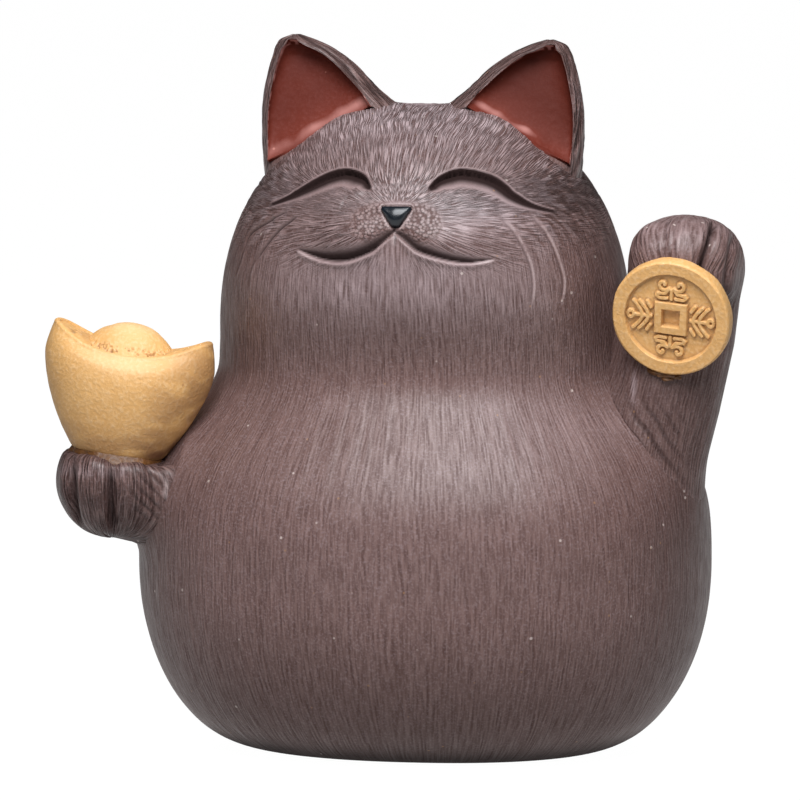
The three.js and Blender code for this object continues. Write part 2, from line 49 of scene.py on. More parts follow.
# Body: how far the clay reaches from the upright axis at foot, belly, neck and jowl
NECK_HEIGHT = 48.0
CROWN_HEIGHT = 79.3
ROUNDNESS = 2.2
FOOT_CURVE = 2.0
SHOULDER_CURVE = 1.7
CROWN_CURVE = 2.25
SIDEWAYS = dict(foot=20.8, belly=35.4, neck=25.4, jowl=25.3, belly_height=22.6, jowl_height=51.0)
FORWARDS = dict(foot=14.2, belly=29.3, neck=20.6, jowl=23.2, belly_height=21.0, jowl_height=59.5)
BACKWARDS = dict(foot=14.0, belly=27.0, neck=20.2, jowl=21.5, belly_height=21.0, jowl_height=57.0)
HEAD_MIDDLE = np.array([0, -0.6, 54.8])
HEAD_HALF = np.array([25.2, 22.2, 24.5])
SLAB_THICKNESS = 3.2
VENT_RADIUS = 3.5
VENT_BACK = 7.5

# Muzzle swelling on each side of the mouth
MUZZLE_OUT = 1.1
MUZZLE_ACROSS = 4.6
MUZZLE_HEIGHT = 64.4
MUZZLE_WIDTH = 4.4
MUZZLE_TALL = 2.6

# Limbs: middle points with the half sizes along x, y and z
RAISED_ARM = [
    ((26.0, -4.6, 24.0), (5.6, 5.6, 5.6)),
    ((28.2, -5.4, 34.0), (6.5, 6.3, 6.4)),
    ((30.0, -6.0, 44.0), (7.2, 6.6, 6.9)),
    ((31.9, -6.4, 52.0), (7.0, 6.5, 6.9)),
    ((33.1, -6.9, 60.0), (6.8, 6.3, 6.4)),
]
PAW_FOLD = ((33.2, -10.6, 60.9), (6.7, 5.9, 5.5))
PAW_SQUARENESS = 2.5
HOLDING_ARM = [
    ((-22.0, -8.0, 32.4), (7.0, 7.0, 7.2)),
    ((-30.0, -10.8, 32.8), (7.0, 7.0, 7.2)),
    ((-37.0, -12.9, 33.7), (6.8, 7.0, 7.1)),
]
PALM_MIDDLE = (-37.0, -12.6, 31.6)

# Tail: turn round the body in degrees, height, and how far its middle stands proud
TAIL = [
    (104, 12.0, -3.0), (94, 10.4, 0.4), (80, 10.0, 1.3), (66, 12.4, 1.4), (55, 17.0, 1.3), (50, 22.0, 1.1),
]
TAIL_HALF = 3.1
TAIL_LENGTH = 40
TAIL_HAIR_RADIUS = 3.0

# Ears: height, outer edge, inner edge and half depth
EAR_ROWS = np.array([
    (68.0, 19.2, 2.0, 6.2), (73.5, 19.8, 2.4, 5.6), (78.5, 19.9, 3.4, 4.7), (82.5, 19.3, 6.6, 3.6),
    (85.3, 18.6, 9.7, 2.6), (86.6, 18.1, 11.9, 2.0), (87.3, 17.5, 13.6, 1.4), (87.8, 16.2, 15.2, 0.5),
])
EAR_BACK = -2.4
EAR_OUTER_RIM = 1.1
EAR_INNER_RIM = 2.0
EAR_TOP_RIM = 0.55
EAR_CUP = 3.6
LEFT_EAR_DROP = 0.45

# Ingot: its seat on the palm, its lean, and its own form above its foot
INGOT_SEAT = (-36.1, -13.6, 36.9)
INGOT_LEAN = math.radians(8.2)
INGOT_FOOT = 5.4
INGOT_FULL = 10.57
INGOT_FULL_HEIGHT = 10.0
INGOT_TIP = 9.9
INGOT_TIP_HEIGHT = 15.9
INGOT_SADDLE = 12.8
INGOT_NARROW = 0.63
INGOT_FOOT_NARROW = 0.72
BASIN_FLOOR = 12.9
RIM_ROLL = 0.8
BASIN_HALF = 6.2
DOME_HALF = 5.9
DOME_NARROW = 0.74
DOME_TOP = 16.4
DOME_ASIDE = -0.2

# Coin: its middle, lean and turn, and its own form
COIN_CENTRE = (32.2, -15.2, 55.1)
COIN_LEAN = math.radians(16)
COIN_TURN = math.radians(-6)
COIN_ASIDE = math.radians(-10)
COIN_RADIUS = 7.25
COIN_THICKNESS = 2.2
COIN_RIM = 1.65
COIN_RECESS = 0.55
COIN_FRAME_HALF = 2.0
COIN_HOLE_HALF = 1.1
COIN_HOLE_DEPTH = 1.0

# Camera: turned and raised as the photograph was taken, from a long way off
CAMERA_TURN = math.radians(8.8)
CAMERA_RISE = math.radians(6.5)
CAMERA_DISTANCE = 700.0
VIEW_WIDTH = 98.8
TARGET_ASIDE = -3.14
TARGET_HEIGHT = 42.7
SENSOR_WIDTH = 36.0


# Repeatable noise

def scramble(cells, seed):
    """Repeatable values from -1 to 1 for whole-number cells."""
    mixed = np.full(cells.shape[:-1], (seed * 2654435761 + 97) & 0xFFFFFFFF, np.uint64)
    for axis, prime in zip(range(cells.shape[-1]), (73856093, 19349663, 83492791)):
        step = (cells[..., axis].astype(np.int64) & 0xFFFFFFFF).astype(np.uint64)
        mixed = (mixed ^ (step * np.uint64(prime))) & np.uint64(0xFFFFFFFF)
        mixed = ((mixed ^ (mixed >> np.uint64(15))) * np.uint64(2246822519)) & np.uint64(0xFFFFFFFF)
        mixed = ((mixed ^ (mixed >> np.uint64(13))) * np.uint64(3266489917)) & np.uint64(0xFFFFFFFF)
        mixed = mixed ^ (mixed >> np.uint64(16))
    return mixed.astype(float) / 0xFFFFFFFF * 2 - 1


def noise(places, seed, turns=None):
    """Smooth noise from -1 to 1 at places of two or three coordinates; the first repeats after turns."""
    low = np.floor(places)
    part = places - low
    part = part * part * (3 - 2 * part)
    total = np.zeros(places.shape[:-1])
    for corner in itertools.product((0, 1), repeat=places.shape[-1]):
        cells = low + np.array(corner)
        if turns:
            cells[..., 0] = np.mod(cells[..., 0], turns)
        weight = np.prod(np.where(np.array(corner) == 1, part, 1 - part), axis=-1)
        total += weight * scramble(cells, seed)
    return total


def ramp(value, start, end):
    """Goes smoothly from 0 at start to 1 at end."""
    share = np.clip((value - start) / (end - start), 0, 1)
    return share * share * (3 - 2 * share)


def bell(value, half):
    """A smooth hump: 1 at 0, and almost 0 from twice that half width on."""
    return np.exp(-(value / half) ** 2)


def unit(vectors):
    length = np.linalg.norm(vectors, axis=-1, keepdims=True)
    return vectors / np.maximum(length, 1e-9)


def graded(start, end, count, spacing):
    """Places from start to end that lie closer together where spacing(place) is small."""
    fine = np.linspace(start, end, 4001)
    steps = np.concatenate([[0], np.cumsum(1 / spacing((fine[1:] + fine[:-1]) / 2))])
    return np.interp(np.linspace(0, steps[-1], count), steps, fine)


# Body form

def reach(side, height):
    """Reach of the clay from the axis on one side, at each height."""
    foot, belly, neck, jowl = side["foot"], side["belly"], side["neck"], side["jowl"]
    belly_height, jowl_height = side["belly_height"], side["jowl_height"]
    up = np.clip(height / belly_height, 0, 1)
    at_foot = foot + (belly - foot) * (1 - (1 - up) ** FOOT_CURVE) ** (1 / FOOT_CURVE)
    up = np.clip((height - belly_height) / (NECK_HEIGHT - belly_height), 0, 1) ** SHOULDER_CURVE
    at_shoulder = neck + (belly - neck) * (0.5 + 0.5 * np.cos(np.pi * up))
    up = np.clip((height - NECK_HEIGHT) / (jowl_height - NECK_HEIGHT), 0, 1)
    at_neck = neck + (jowl - neck) * (0.5 - 0.5 * np.cos(np.pi * up))
    up = np.clip((height - jowl_height) / (CROWN_HEIGHT - jowl_height), 0, 1)
    at_crown = jowl * (1 - up ** CROWN_CURVE) ** (1 / CROWN_CURVE)
    zones = [height <= belly_height, height <= NECK_HEIGHT, height <= jowl_height]
    return np.select(zones, [at_foot, at_shoulder, at_neck], at_crown)


def body_points(turn, height):
    """Points on the body at turns round it, counted from +X, and heights."""
    cosine, sine = np.cos(turn), np.sin(turn)
    across = reach(SIDEWAYS, height)
    deep = np.where(sine < 0, reach(FORWARDS, height), reach(BACKWARDS, height))
    x = across * np.sign(cosine) * np.abs(cosine) ** (2 / ROUNDNESS)
    y = deep * np.sign(sine) * np.abs(sine) ** (2 / ROUNDNESS)
    front = np.clip(-y / np.maximum(reach(FORWARDS, height), 1e-6), 0, 1)
    side = bell((np.abs(x) - MUZZLE_ACROSS) / math.sqrt(2), MUZZLE_WIDTH)
    up = bell((height - MUZZLE_HEIGHT) / math.sqrt(2), MUZZLE_TALL)
    y = y - MUZZLE_OUT * side * up * front
    return np.stack([x, y, height], axis=-1)


def body_field(points):
    """About how far points are outside the body's skin; negative inside."""
    x, y, z = points[..., 0], points[..., 1], points[..., 2]
    height = np.clip(z, 0, CROWN_HEIGHT - 0.5)
    across = reach(SIDEWAYS, height)
    deep = np.where(y < 0, reach(FORWARDS, height), reach(BACKWARDS, height))
    share = (np.abs(x / across) ** ROUNDNESS + np.abs(y / deep) ** ROUNDNESS) ** (1 / ROUNDNESS)
    sideways = (share - 1) * np.minimum(across, deep)
    slope = np.hypot(1, (reach(FORWARDS, height + 0.5) - reach(FORWARDS, height - 0.5)))
    return np.maximum(sideways / slope, z - CROWN_HEIGHT)


def head_field(points):
    """About how far points are outside the head's dome, smooth also above the crown."""
    share = np.abs((points - HEAD_MIDDLE) / HEAD_HALF) ** CROWN_CURVE
    return (share.sum(-1) ** (1 / CROWN_CURVE) - 1) * HEAD_HALF.min()


def on_segment(points, start, end):
    """Share of a straight line that lies nearest to each point, and the offset of the point from there."""
    start, along = np.array(start), np.array(end) - np.array(start)
    share = np.clip(((points - start) @ along) / (along @ along), 0, 1)
    return share, points - start - along * share[..., None]


def limb_field(points, path):
    """About how far points are outside a limb that is swept along its path."""
    nearest = np.full(points.shape[:-1], np.inf)
    for (start, start_half), (end, end_half) in zip(path[:-1], path[1:]):
        share, offset = on_segment(points, start, end)
        share = share[..., None]
        half = np.array(start_half) * (1 - share) + np.array(end_half) * share
        nearest = np.minimum(nearest, (np.linalg.norm(offset / half, axis=-1) - 1) * half.min(axis=-1))
    return nearest


def blended(first, second, width):
    """Union of two fields with a soft fillet of that width between them."""
    overlap = np.maximum(width - np.abs(first - second), 0) / width
    return np.minimum(first, second) - overlap * overlap * width / 4


def fillet(distance, width):
    """How far a skin swells towards a neighbour at that distance, so that the two run together."""
    overlap = np.clip(1 - np.maximum(distance, 0) / width, 0, 1)
    return overlap * overlap * width / 4


# Meshes: each piece starts as a primitive grid whose rows are wrapped round the form

SHARP_ANGLE = math.radians(68)
MERGE_DISTANCE = 1e-7


def select_only(obj):
    bpy.ops.object.select_all(action="DESELECT")
    obj.select_set(True)
    bpy.context.view_layer.objects.active = obj


def grid_edges(points):
    """The two edge vectors of a grid of points whose columns close on themselves."""
    wider = np.concatenate([points[:, -2:-1], points, points[:, 1:2]], axis=1)
    return (wider[:, 2:] - wider[:, :-2]) / 2, np.gradient(points, axis=0)


def grid_normals(points):
    across, along = grid_edges(points)
    return unit(np.cross(across, along))


def drawn_in(ring, share, height):
    """A ring of points drawn in towards the axis and laid flat at a height."""
    ring = ring * share
    ring[..., 2] = height
    return ring


def capped(points, low=None, high=None):
    """Rows of points whose two ends are gathered in one place each: the end's middle if none is given."""
    low = points[0].mean(axis=0) if low is None else low
    high = points[-1].mean(axis=0) if high is None else high
    first, last = (np.broadcast_to(place, points[:1].shape) for place in (low, high))
    return np.concatenate([first, points, last])


def padded(values, added):
    """Values for the rows added at a grid's two ends too: zeros, or for vectors the end's own again."""
    if values.ndim == 3:
        return np.pad(values, (added, (0, 0), (0, 0)), mode="edge")
    return np.pad(values, (added, (0, 0)))


def wrapped_grid(name, points, attributes=None, flow=None, added=(1, 1), closed=True):
    """A primitive grid moved to rows of points in millimetres, its seams merged. The attributes and the
    flow (millimetres across and along the strokes) leave out the rows added at the two ends."""
    rows, columns = points.shape[:2]
    bpy.ops.object.select_all(action="DESELECT")
    bpy.ops.mesh.primitive_grid_add(x_subdivisions=columns - 1, y_subdivisions=rows - 1, size=1)
    obj = bpy.context.active_object
    obj.name = name
    mesh = obj.data
    mesh.name = name
    mesh.vertices.foreach_set("co", (points * MM).astype(np.float32).ravel())
    for label, values in (attributes or {}).items():
        kind, part = ("FLOAT_VECTOR", "vector") if values.ndim == 3 else ("FLOAT", "value")
        layer = mesh.attributes.new(label, kind, "POINT")
        layer.data.foreach_set(part, padded(values, added).astype(np.float32).ravel())
    if flow is not None:
        corners = np.zeros(len(mesh.loops), np.int32)
        mesh.loops.foreach_get("vertex_index", corners)
        places = padded(flow, added).reshape(-1, 2)[corners]
        mesh.uv_layers[0].data.foreach_set("uv", places.astype(np.float32).ravel())
    mesh.update()
    if closed:
        bpy.ops.object.mode_set(mode="EDIT")
        bpy.ops.mesh.select_all(action="SELECT")
        bpy.ops.mesh.remove_doubles(threshold=MERGE_DISTANCE)
        bpy.ops.mesh.normals_make_consistent(inside=False)
        bpy.ops.object.mode_set(mode="OBJECT")
    bpy.ops.object.shade_smooth_by_angle(angle=SHARP_ANGLE)
    return obj


def finish_piece(obj, material, node):
    obj.data.materials.clear()
    obj.data.materials.append(material)
    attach(obj, "root")
    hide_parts(node)


# Hair: strokes combed into the clay. Each layer has its width, length and weight

HAIR_RADIUS = 30.0
HAIR_WIDTHS = ((0.6, 8.0, 0.6), (1.3, 11.0, 0.7), (3.0, 16.0, 0.4))
LIMB_WIDTHS = ((0.5, 5.0, 0.7), (0.9, 6.0, 0.8), (1.8, 8.0, 0.5))
STROKE_STEP = 0.22
FASTEST_PACE = 12


def combed(points, flow, grain, length):
    """Smears grain along the flow lines of a closed grid, so that it turns into strokes of that length."""
    across, along = grid_edges(points)
    e, f, g = (across ** 2).sum(-1), (across * along).sum(-1), (along ** 2).sum(-1)
    a, b = (flow * across).sum(-1), (flow * along).sum(-1)
    area = np.maximum(e * g - f * f, 1e-7)
    pace = np.stack([(a * g - b * f) / area, (b * e - a * f) / area], axis=-1)
    pace = np.clip(pace, -FASTEST_PACE, FASTEST_PACE)
    rows, columns = grain.shape

    def sample(values, column, row):
        column = np.mod(column, columns - 1)
        row = np.clip(row, 0, rows - 1.001)
        left, low = column.astype(int), row.astype(int)
        share, rise = column - left, row - low
        if values.ndim == 3:
            share, rise = share[..., None], rise[..., None]
        lower = values[low, left] * (1 - share) + values[low, left + 1] * share
        upper = values[low + 1, left] * (1 - share) + values[low + 1, left + 1] * share
        return lower * (1 - rise) + upper * rise

    start_row, start_column = np.mgrid[0:rows, 0:columns].astype(float)
    count = max(int(length / 2 / STROKE_STEP), 1)
    total = grain.copy()
    for way in (1, -1):
        column, row = start_column.copy(), start_row.copy()
        for i in range(1, count + 1):
            speed = sample(pace, column, row) * way * STROKE_STEP
            column, row = column + speed[..., 0], row + speed[..., 1]
            total += sample(grain, column, row) * (0.5 + 0.5 * math.cos(math.pi * i / (count + 1)))
    return total / total.std()


def straight_hair(turn, height, seed=3, radius=HAIR_RADIUS, widths=HAIR_WIDTHS):
    """Strokes along a form of that radius, from turns round it and heights or ways along it."""
    share = turn / (2 * np.pi)
    total = np.zeros(turn.shape)
    for layer, (width, length, weight) in enumerate(widths):
        cells = max(int(2 * math.pi * radius / width), 8)
        total += weight * noise(np.stack([share * cells, height / length], -1), seed + layer, cells)
    return total


# Painted highlights: strength of a pale spot, its place and half width across, and its height and half height

CHEEK_HIGHLIGHT = (0.75, 9.5, 5.0, 67.8, 2.5)
JOIN_HIGHLIGHT = (0.9, 27.2, 0.5, 45.8, 2.4)


def painted_highlight_spot(points, strength, across, across_half, height, height_half):
    return strength * bell(points[..., 0] - across, across_half) * bell(points[..., 2] - height, height_half)


def painted_light_share(points, normals):
    """Painted light in the clay's tone: a painted sheen (above 0) where the clay faces the front and up, on
    the cheek and at the arm's join, and painted shade (below 0) at the sides and towards the bottom.
    """
    z = points[..., 2]
    front = np.clip(-normals[..., 1], 0, 1) ** 0.7
    upward = np.clip(normals[..., 2], 0, 1)
    middle = bell(points[..., 0] - 1.5, 22.0)
    # Painted sheen on the chin, the face and the crown, where the clay faces the lamps
    painted_light_and_wear = 0.56 * bell(z - 59.5, 5.0) * front * middle + 0.34 * ramp(z, 63, 70) * front
    painted_light_and_wear += 0.6 * ramp(z, 71, 79) * upward + 0.05 * bell(z - 27.0, 9.0) * front * middle
    painted_light_and_wear += painted_highlight_spot(points, *CHEEK_HIGHLIGHT) * front
    painted_light_and_wear += painted_highlight_spot(points, *JOIN_HIGHLIGHT) * front
    painted_light_and_wear += 0.22 * bell(z - 42.0, 6.0) * front * ramp(points[..., 0], 2.0, 20.0)
    # Painted shade: darker at the sides and towards the bottom
    painted_light_and_wear -= 0.38 * ramp(np.abs(normals[..., 0]), 0.55, 0.95) * ramp(z, 0, 34)
    painted_light_and_wear -= 0.3 * (1 - ramp(z, 2, 24))
    return painted_light_and_wear


# Face: the places below are across from the middle and up from the table
NOSE = np.array([-0.2, 67.4])
RIGHT_EYE = [
    (-3.5, 70.15), (-4.6, 71.7), (-6.9, 72.35), (-9.4, 71.7), (-12.3, 70.1), (-14.4, 68.8), (-17.0, 67.6),
]
LEFT_EYE = [
    (3.2, 70.15), (4.7, 71.75), (7.2, 72.45), (10.9, 71.45), (13.25, 69.6), (15.4, 68.2), (18.2, 67.1),
]
RIGHT_MOUTH = [(-0.3, 65.5), (-1.7, 64.1), (-3.2, 62.85), (-6.4, 61.7), (-9.6, 61.9), (-12.6, 63.0)]
LEFT_MOUTH = [(-0.3, 65.5), (1.2, 64.2), (2.8, 63.0), (6.1, 62.0), (8.8, 61.75), (11.6, 62.2)]
LIP_RIDGE = [(-0.3, 65.0), (-0.35, 63.6), (-0.4, 61.9)]
# Each whisker has its path and the share of it where the cut, darkened with painted shade, turns into a
# raised ridge with a painted highlight
WHISKERS = [
    ([(-13.6, 67.5), (-16.6, 66.0), (-19.6, 64.0), (-20.4, 61.2), (-21.5, 58.2)], 0.62),
    ([(-12.0, 67.2), (-15.3, 64.9), (-17.7, 62.0), (-18.9, 59.5), (-19.05, 57.0)], 0.55),
    ([(11.5, 67.3), (13.6, 65.3), (15.3, 62.1), (15.9, 59.0), (15.6, 55.8)], 0.1),
    ([(14.4, 68.0), (17.3, 64.6), (18.75, 61.1), (19.2, 58.8), (18.9, 56.2)], 0.1),
]
CHEEK_CREASE = [(17.6, 67.4), (19.4, 66.0), (20.9, 64.4), (21.9, 62.0)]


def smooth_path(places, count=90):
    """Points along a curve that runs smoothly through the places (Catmull-Rom)."""
    places = np.array(places, float)
    longer = np.vstack([2 * places[0] - places[1], places, 2 * places[-1] - places[-2]])
    share = np.linspace(0, len(places) - 1 - 1e-9, count)
    first = share.astype(int)
    t = (share - first)[:, None]
    a, b, c, d = (longer[first + k] for k in range(4))
    cubic = (3 * b - a - 3 * c + d) * t ** 3
    return 0.5 * (2 * b + (c - a) * t + (2 * a - 5 * b + 4 * c - d) * t ** 2 + cubic)


def beside_path(flat, places):
    """Signed distance of flat points from a curve, positive on its left, and the share along the curve."""
    curve = smooth_path(places)
    best = np.full(flat.shape[:-1], np.inf)
    signed = np.zeros(flat.shape[:-1])
    share = np.zeros(flat.shape[:-1])
    for i, (start, end) in enumerate(zip(curve[:-1], curve[1:])):
        part, offset = on_segment(flat, start, end)
        along = end - start
        distance = np.linalg.norm(offset, axis=-1)
        side = along[0] * offset[..., 1] - along[1] * offset[..., 0]
        closer = distance < best
        best = np.where(closer, distance, best)
        signed = np.where(closer, np.where(side > 0, distance, -distance), signed)
        share = np.where(closer, (i + part) / (len(curve) - 1), share)
    return signed, share


def along_share(share, rows):
    """Value at a share of a path, from rows of share and value."""
    rows = np.array(rows)
    return np.interp(share, rows[:, 0], rows[:, 1])


def undercut(signed, depth, width):
    """A cut with one steep edge at 0 and a long soft side on positive distances."""
    span = np.maximum(width, 0.05)
    inside = np.clip(signed / span, 0, 1)
    return -depth * ramp(signed, -0.08, 0.12) * (1 - inside) ** 1.4 * (signed < span)


# Thickness of the band of painted shade along each eye and mouth line, as share and millimetres
EYE_BAND = [(0, 0.25), (0.07, 1.0), (0.25, 1.6), (0.55, 1.3), (0.7, 0.9), (0.85, 0.4), (1, 0.1)]
RIGHT_LIP_BAND = [(0, 0.45), (0.12, 1.0), (0.35, 1.7), (0.65, 1.75), (0.85, 1.1), (1, 0.15)]
LEFT_LIP_BAND = [(0, 0.45), (0.15, 1.05), (0.45, 1.3), (0.75, 0.9), (1, 0.12)]


def nose_radius(turn):
    """Radius of the nose's rounded triangle at turns counted from +X."""
    sides = ((math.pi / 2, 1.02), (math.radians(-31), 1.26), (math.radians(211), 1.26))
    facing = sum(np.maximum(np.cos(turn - angle), 0) ** 7 / away ** 7 for angle, away in sides)
    return np.minimum(1 / np.maximum(facing, 1e-9) ** (1 / 7), np.where(np.sin(turn) < -0.5, 1.62, 1.98))


def face_carving(points):
    """Push along the normal, then the shade (painted shade above 0, painted highlight below), bareness and
    pebbles.
    """
    flat = points[..., [0, 2]]
    push = np.zeros(flat.shape[:-1])
    shade = np.zeros(flat.shape[:-1])
    bare = np.zeros(flat.shape[:-1])
    front = points[..., 1] < 0
    scallop = 0.035 * noise(points / 0.5, 41)
    for places, outward in ((RIGHT_EYE, 1), (LEFT_EYE, -1)):
        signed, share = beside_path(flat, places)
        signed = signed * outward
        band = along_share(share, EYE_BAND)
        inner = signed + scallop * (band > 0.5)
        ends = ramp(share, 0.0, 0.04) * (1 - ramp(share, 0.96, 1.0))
        push += undercut(inner, 0.6 * band, 1.4 * band)
        push += 0.03 * bell(signed + 0.4, 0.4) * ends + 0.2 * bell(signed - band - 1.5, 1.3) * ends
        # Painted shade: the dark band under the eye's overhanging upper edge
        shade += ramp(inner, -0.34, -0.14) * (1 - ramp(signed, 0.4 * band, 1.15 * band + 0.1)) * ends
        bare += ramp(inner, -0.5, -0.3) * (1 - ramp(signed, 1.1 * band, 1.5 * band + 0.1)) * ends
    lips = ((RIGHT_MOUTH, -1, RIGHT_LIP_BAND), (LEFT_MOUTH, 1, LEFT_LIP_BAND))
    for places, inward, rows in lips:
        signed, share = beside_path(flat, places)
        signed = signed * inward
        band = along_share(share, rows)
        ends = 1 - ramp(share, 0.97, 1.0)
        push += undercut(signed, 0.75 * band, 1.5 * band)
        push += 0.14 * bell(signed + 0.35, 0.3) * ramp(share, 0.0, 0.15) * ends
        # Painted shade under the muzzle's overhang, and a painted highlight along the lip's edge
        shade += 0.88 * ramp(signed, -0.06, 0.08) * (1 - ramp(signed, 0.4 * band, 1.25 * band)) * ends
        edge = 0.1 + 0.5 * ramp(share, 0.75, 0.95)
        shade -= edge * bell(signed + 0.16, 0.11) * ramp(share, 0.04, 0.15) * ends
        bare += ramp(signed, -0.5, -0.1) * (1 - ramp(signed, 0.8 * band, 1.3 * band)) * ends
    signed, share = beside_path(flat, LIP_RIDGE)
    ridge = bell(signed, 0.2) * ramp(share, 0.02, 0.1) * (1 - ramp(share, 0.3, 0.55))
    push += 0.2 * ridge
    # A painted highlight along the ridge under the nose
    shade -= 0.5 * ridge
    for places, pale_from in WHISKERS:
        signed, share = beside_path(flat, places)
        fade = ramp(share, 0.0, 0.12) * (1 - ramp(share, 0.85, 1.0))
        pale = ramp(share, pale_from - 0.1, pale_from + 0.12)
        push += fade * (0.14 * bell(signed - 0.1, 0.13) * pale - 0.3 * bell(signed, 0.15) * (1 - 0.7 * pale))
        # Painted shade in the dark part of each cut, painted highlights along the pale ridge
        shade += fade * (0.8 * bell(signed, 0.14) * (1 - pale) + 0.5 * bell(signed + 0.2, 0.12) * pale)
        shade -= 0.42 * fade * pale * bell(signed - 0.04, 0.1) * ramp(noise(points / 0.7, 42), -0.9, 0.2)
        bare += fade * bell(signed, 0.3)
    signed, share = beside_path(flat, CHEEK_CREASE)
    push -= 0.3 * bell(signed, 0.8) * np.sin(np.pi * share)
    from_nose = flat - NOSE
    around_nose = np.arctan2(from_nose[..., 1], from_nose[..., 0])
    outside = np.linalg.norm(from_nose, axis=-1) - nose_radius(around_nose)
    push += 0.14 * bell(outside - 0.25, 0.22) - 0.25 * ramp(-outside, -0.05, 0.2)
    # A pale ring round the nose, and painted shade just below it
    shade -= 0.5 * bell(outside - 0.16, 0.13) * (0.3 + 0.7 * ramp(-from_nose[..., 1], -0.8, 0.4))
    shade += 0.5 * bell(np.linalg.norm(from_nose + np.array([0.1, 1.8]), axis=-1), 0.3)
    spread = np.hypot((np.abs(from_nose[..., 0]) - 2.6) / 3.2, (from_nose[..., 1] + 1.0) / 2.5)
    pebbled = (1 - ramp(spread, 0.75, 1.1)) * (1 - np.clip(np.abs(shade), 0, 1))
    bare += bell(outside, 0.5)
    shade = np.clip(shade, -1, 1)
    return push * front, shade * front, np.clip(bare, 0, 1) * front, pebbled * front


def downward_share(points):
    """Where the hair runs straight down instead of away from the nose."""
    x, y, z = points[..., 0], points[..., 1], points[..., 2]
    below = 1 - ramp(z, 59.0, 64.0)
    cheek = ramp(np.abs(x), 9.0, 20.0) * (1 - ramp(z, 60.0, 69.0))
    behind = ramp(y, -3.0, 8.0)
    chin = bell(x - NOSE[0], 3.0) * (1 - ramp(z, 63.5, 66.0))
    return np.maximum(np.maximum(below, cheek), np.maximum(behind, chin))


def fan_source(points):
    """The hair's source for each point: the nose, and lower down for the forehead."""
    source = np.zeros(points.shape) + np.array([NOSE[0], -21.0, NOSE[1]])
    source[..., 2] -= 10.5 * ramp(points[..., 2], 66.5, 72.5)
    return source


def fan_values(points):
    """Turn about the hair's source, distance from it, and how much the fanned lines count."""
    offset = points - fan_source(points)
    distance = np.linalg.norm(offset, axis=-1)
    turn = np.arctan2(offset[..., 0], offset[..., 2])
    turn = turn + 0.012 * noise(points / 2.6, 22)
    return np.stack([turn, distance, 1 - downward_share(points)], -1)


def hair_flow(points, normals):
    """Direction of the hair on the head: away from its source, and down below and behind the face."""
    away = points - fan_source(points)
    down = np.zeros(points.shape) + np.array([0, 0, -1.0])
    for vectors in (away, down):
        vectors -= normals * (vectors * normals).sum(-1, keepdims=True)
    weight = downward_share(points)[..., None]
    flow = unit(away) * (1 - weight) + unit(down) * weight
    wander = 0.1 * noise(points / 3.4, 21)[..., None]
    return unit(flow + wander * np.cross(normals, flow))


# Torso, from its foot to the neck

TORSO_COLUMNS = 861
BELLY_ROWS = 52
SHOULDER_ROWS = 57


def torso_points():
    spacing = lambda turn: np.where(np.abs(turn) < math.radians(84), 0.23, 0.42)
    turn = graded(-math.pi, math.pi, TORSO_COLUMNS, spacing) - math.pi / 2
    belly_height = SIDEWAYS["belly_height"]
    below = belly_height * (1 - np.cos(np.linspace(0, math.pi / 2, BELLY_ROWS)))
    above = np.linspace(belly_height, NECK_HEIGHT, SHOULDER_ROWS + 1)[1:]
    turns, heights = np.meshgrid(turn, np.concatenate([below, above]))
    return turns, heights, body_points(turns, heights)


def make_torso(material):
    turns, heights, points = torso_points()
    normals = grid_normals(points)
    hair = straight_hair(turns, heights)
    near_foot = ramp(heights, 0.3, 3.0)
    arms = np.minimum(limb_field(points, RAISED_ARM), limb_field(points, HOLDING_ARM))
    push = 0.04 * hair * near_foot + fillet(arms, 3.5) * ramp(heights, 4, 12)
    # Painted shade: darker towards the foot, where the body turns under
    shade = 0.9 * (1 - ramp(heights, 0.2, 4.0))
    attributes = dict(hair=hair, painted_light_and_wear=painted_light_share(points, normals), shade=shade)
    points = points + normals * push[..., None]
    foot = body_points(turns[:1], np.zeros_like(turns[:1]))
    inside = SLAB_THICKNESS + 0.3
    below = [(0.0, inside), (0.9, inside), (0.9, 0.0), (0.93, 0.0)]
    above = [(0.97, NECK_HEIGHT - 0.25), (0.0, NECK_HEIGHT - 0.8)]
    rows = [drawn_in(foot, *place) for place in below] + [points]
    rows += [drawn_in(points[-1:], *place) for place in above]
    flow = np.stack([turns * HAIR_RADIUS, heights], -1)
    added = (len(below), len(above))
    torso = wrapped_grid("torso_skin", np.concatenate(rows), attributes, flow, added)
    finish_piece(torso, material, "torso")


# Head, from the neck over the crown

HEAD_COLUMNS = 481
HEAD_ROWS = 196
FACE_FROM = 57
CROWN_WAY = 12
STROKE_LENGTH = 2.8


def head_points():
    """Turns, heights and points, closest together on the face."""
    jowl_height = SIDEWAYS["jowl_height"]
    lift = np.linspace(0, math.pi / 2, 3001)
    dome = jowl_height + (CROWN_HEIGHT - jowl_height) * np.sin(lift) ** (2 / CROWN_CURVE)
    profile = np.concatenate([np.linspace(NECK_HEIGHT, jowl_height, 200)[:-1], dome])
    forward = reach(FORWARDS, profile)
    walk = np.concatenate([[0], np.cumsum(np.hypot(np.diff(profile), np.diff(forward)))])
    on_face = lambda way: (np.interp(way, walk, profile) > FACE_FROM) & (way < walk[-1] - CROWN_WAY)
    at_face = lambda way: np.where(on_face(way), 0.19, 0.42)
    height = np.interp(graded(0, walk[-1], HEAD_ROWS, at_face), walk, profile)
    height[-1] = CROWN_HEIGHT
    spacing = lambda turn: np.where(np.abs(turn) < math.radians(76), 0.42, 1.9)
    turns, heights = np.meshgrid(graded(-math.pi, math.pi, HEAD_COLUMNS, spacing) - math.pi / 2, height)
    return turns, heights, body_points(turns, heights)


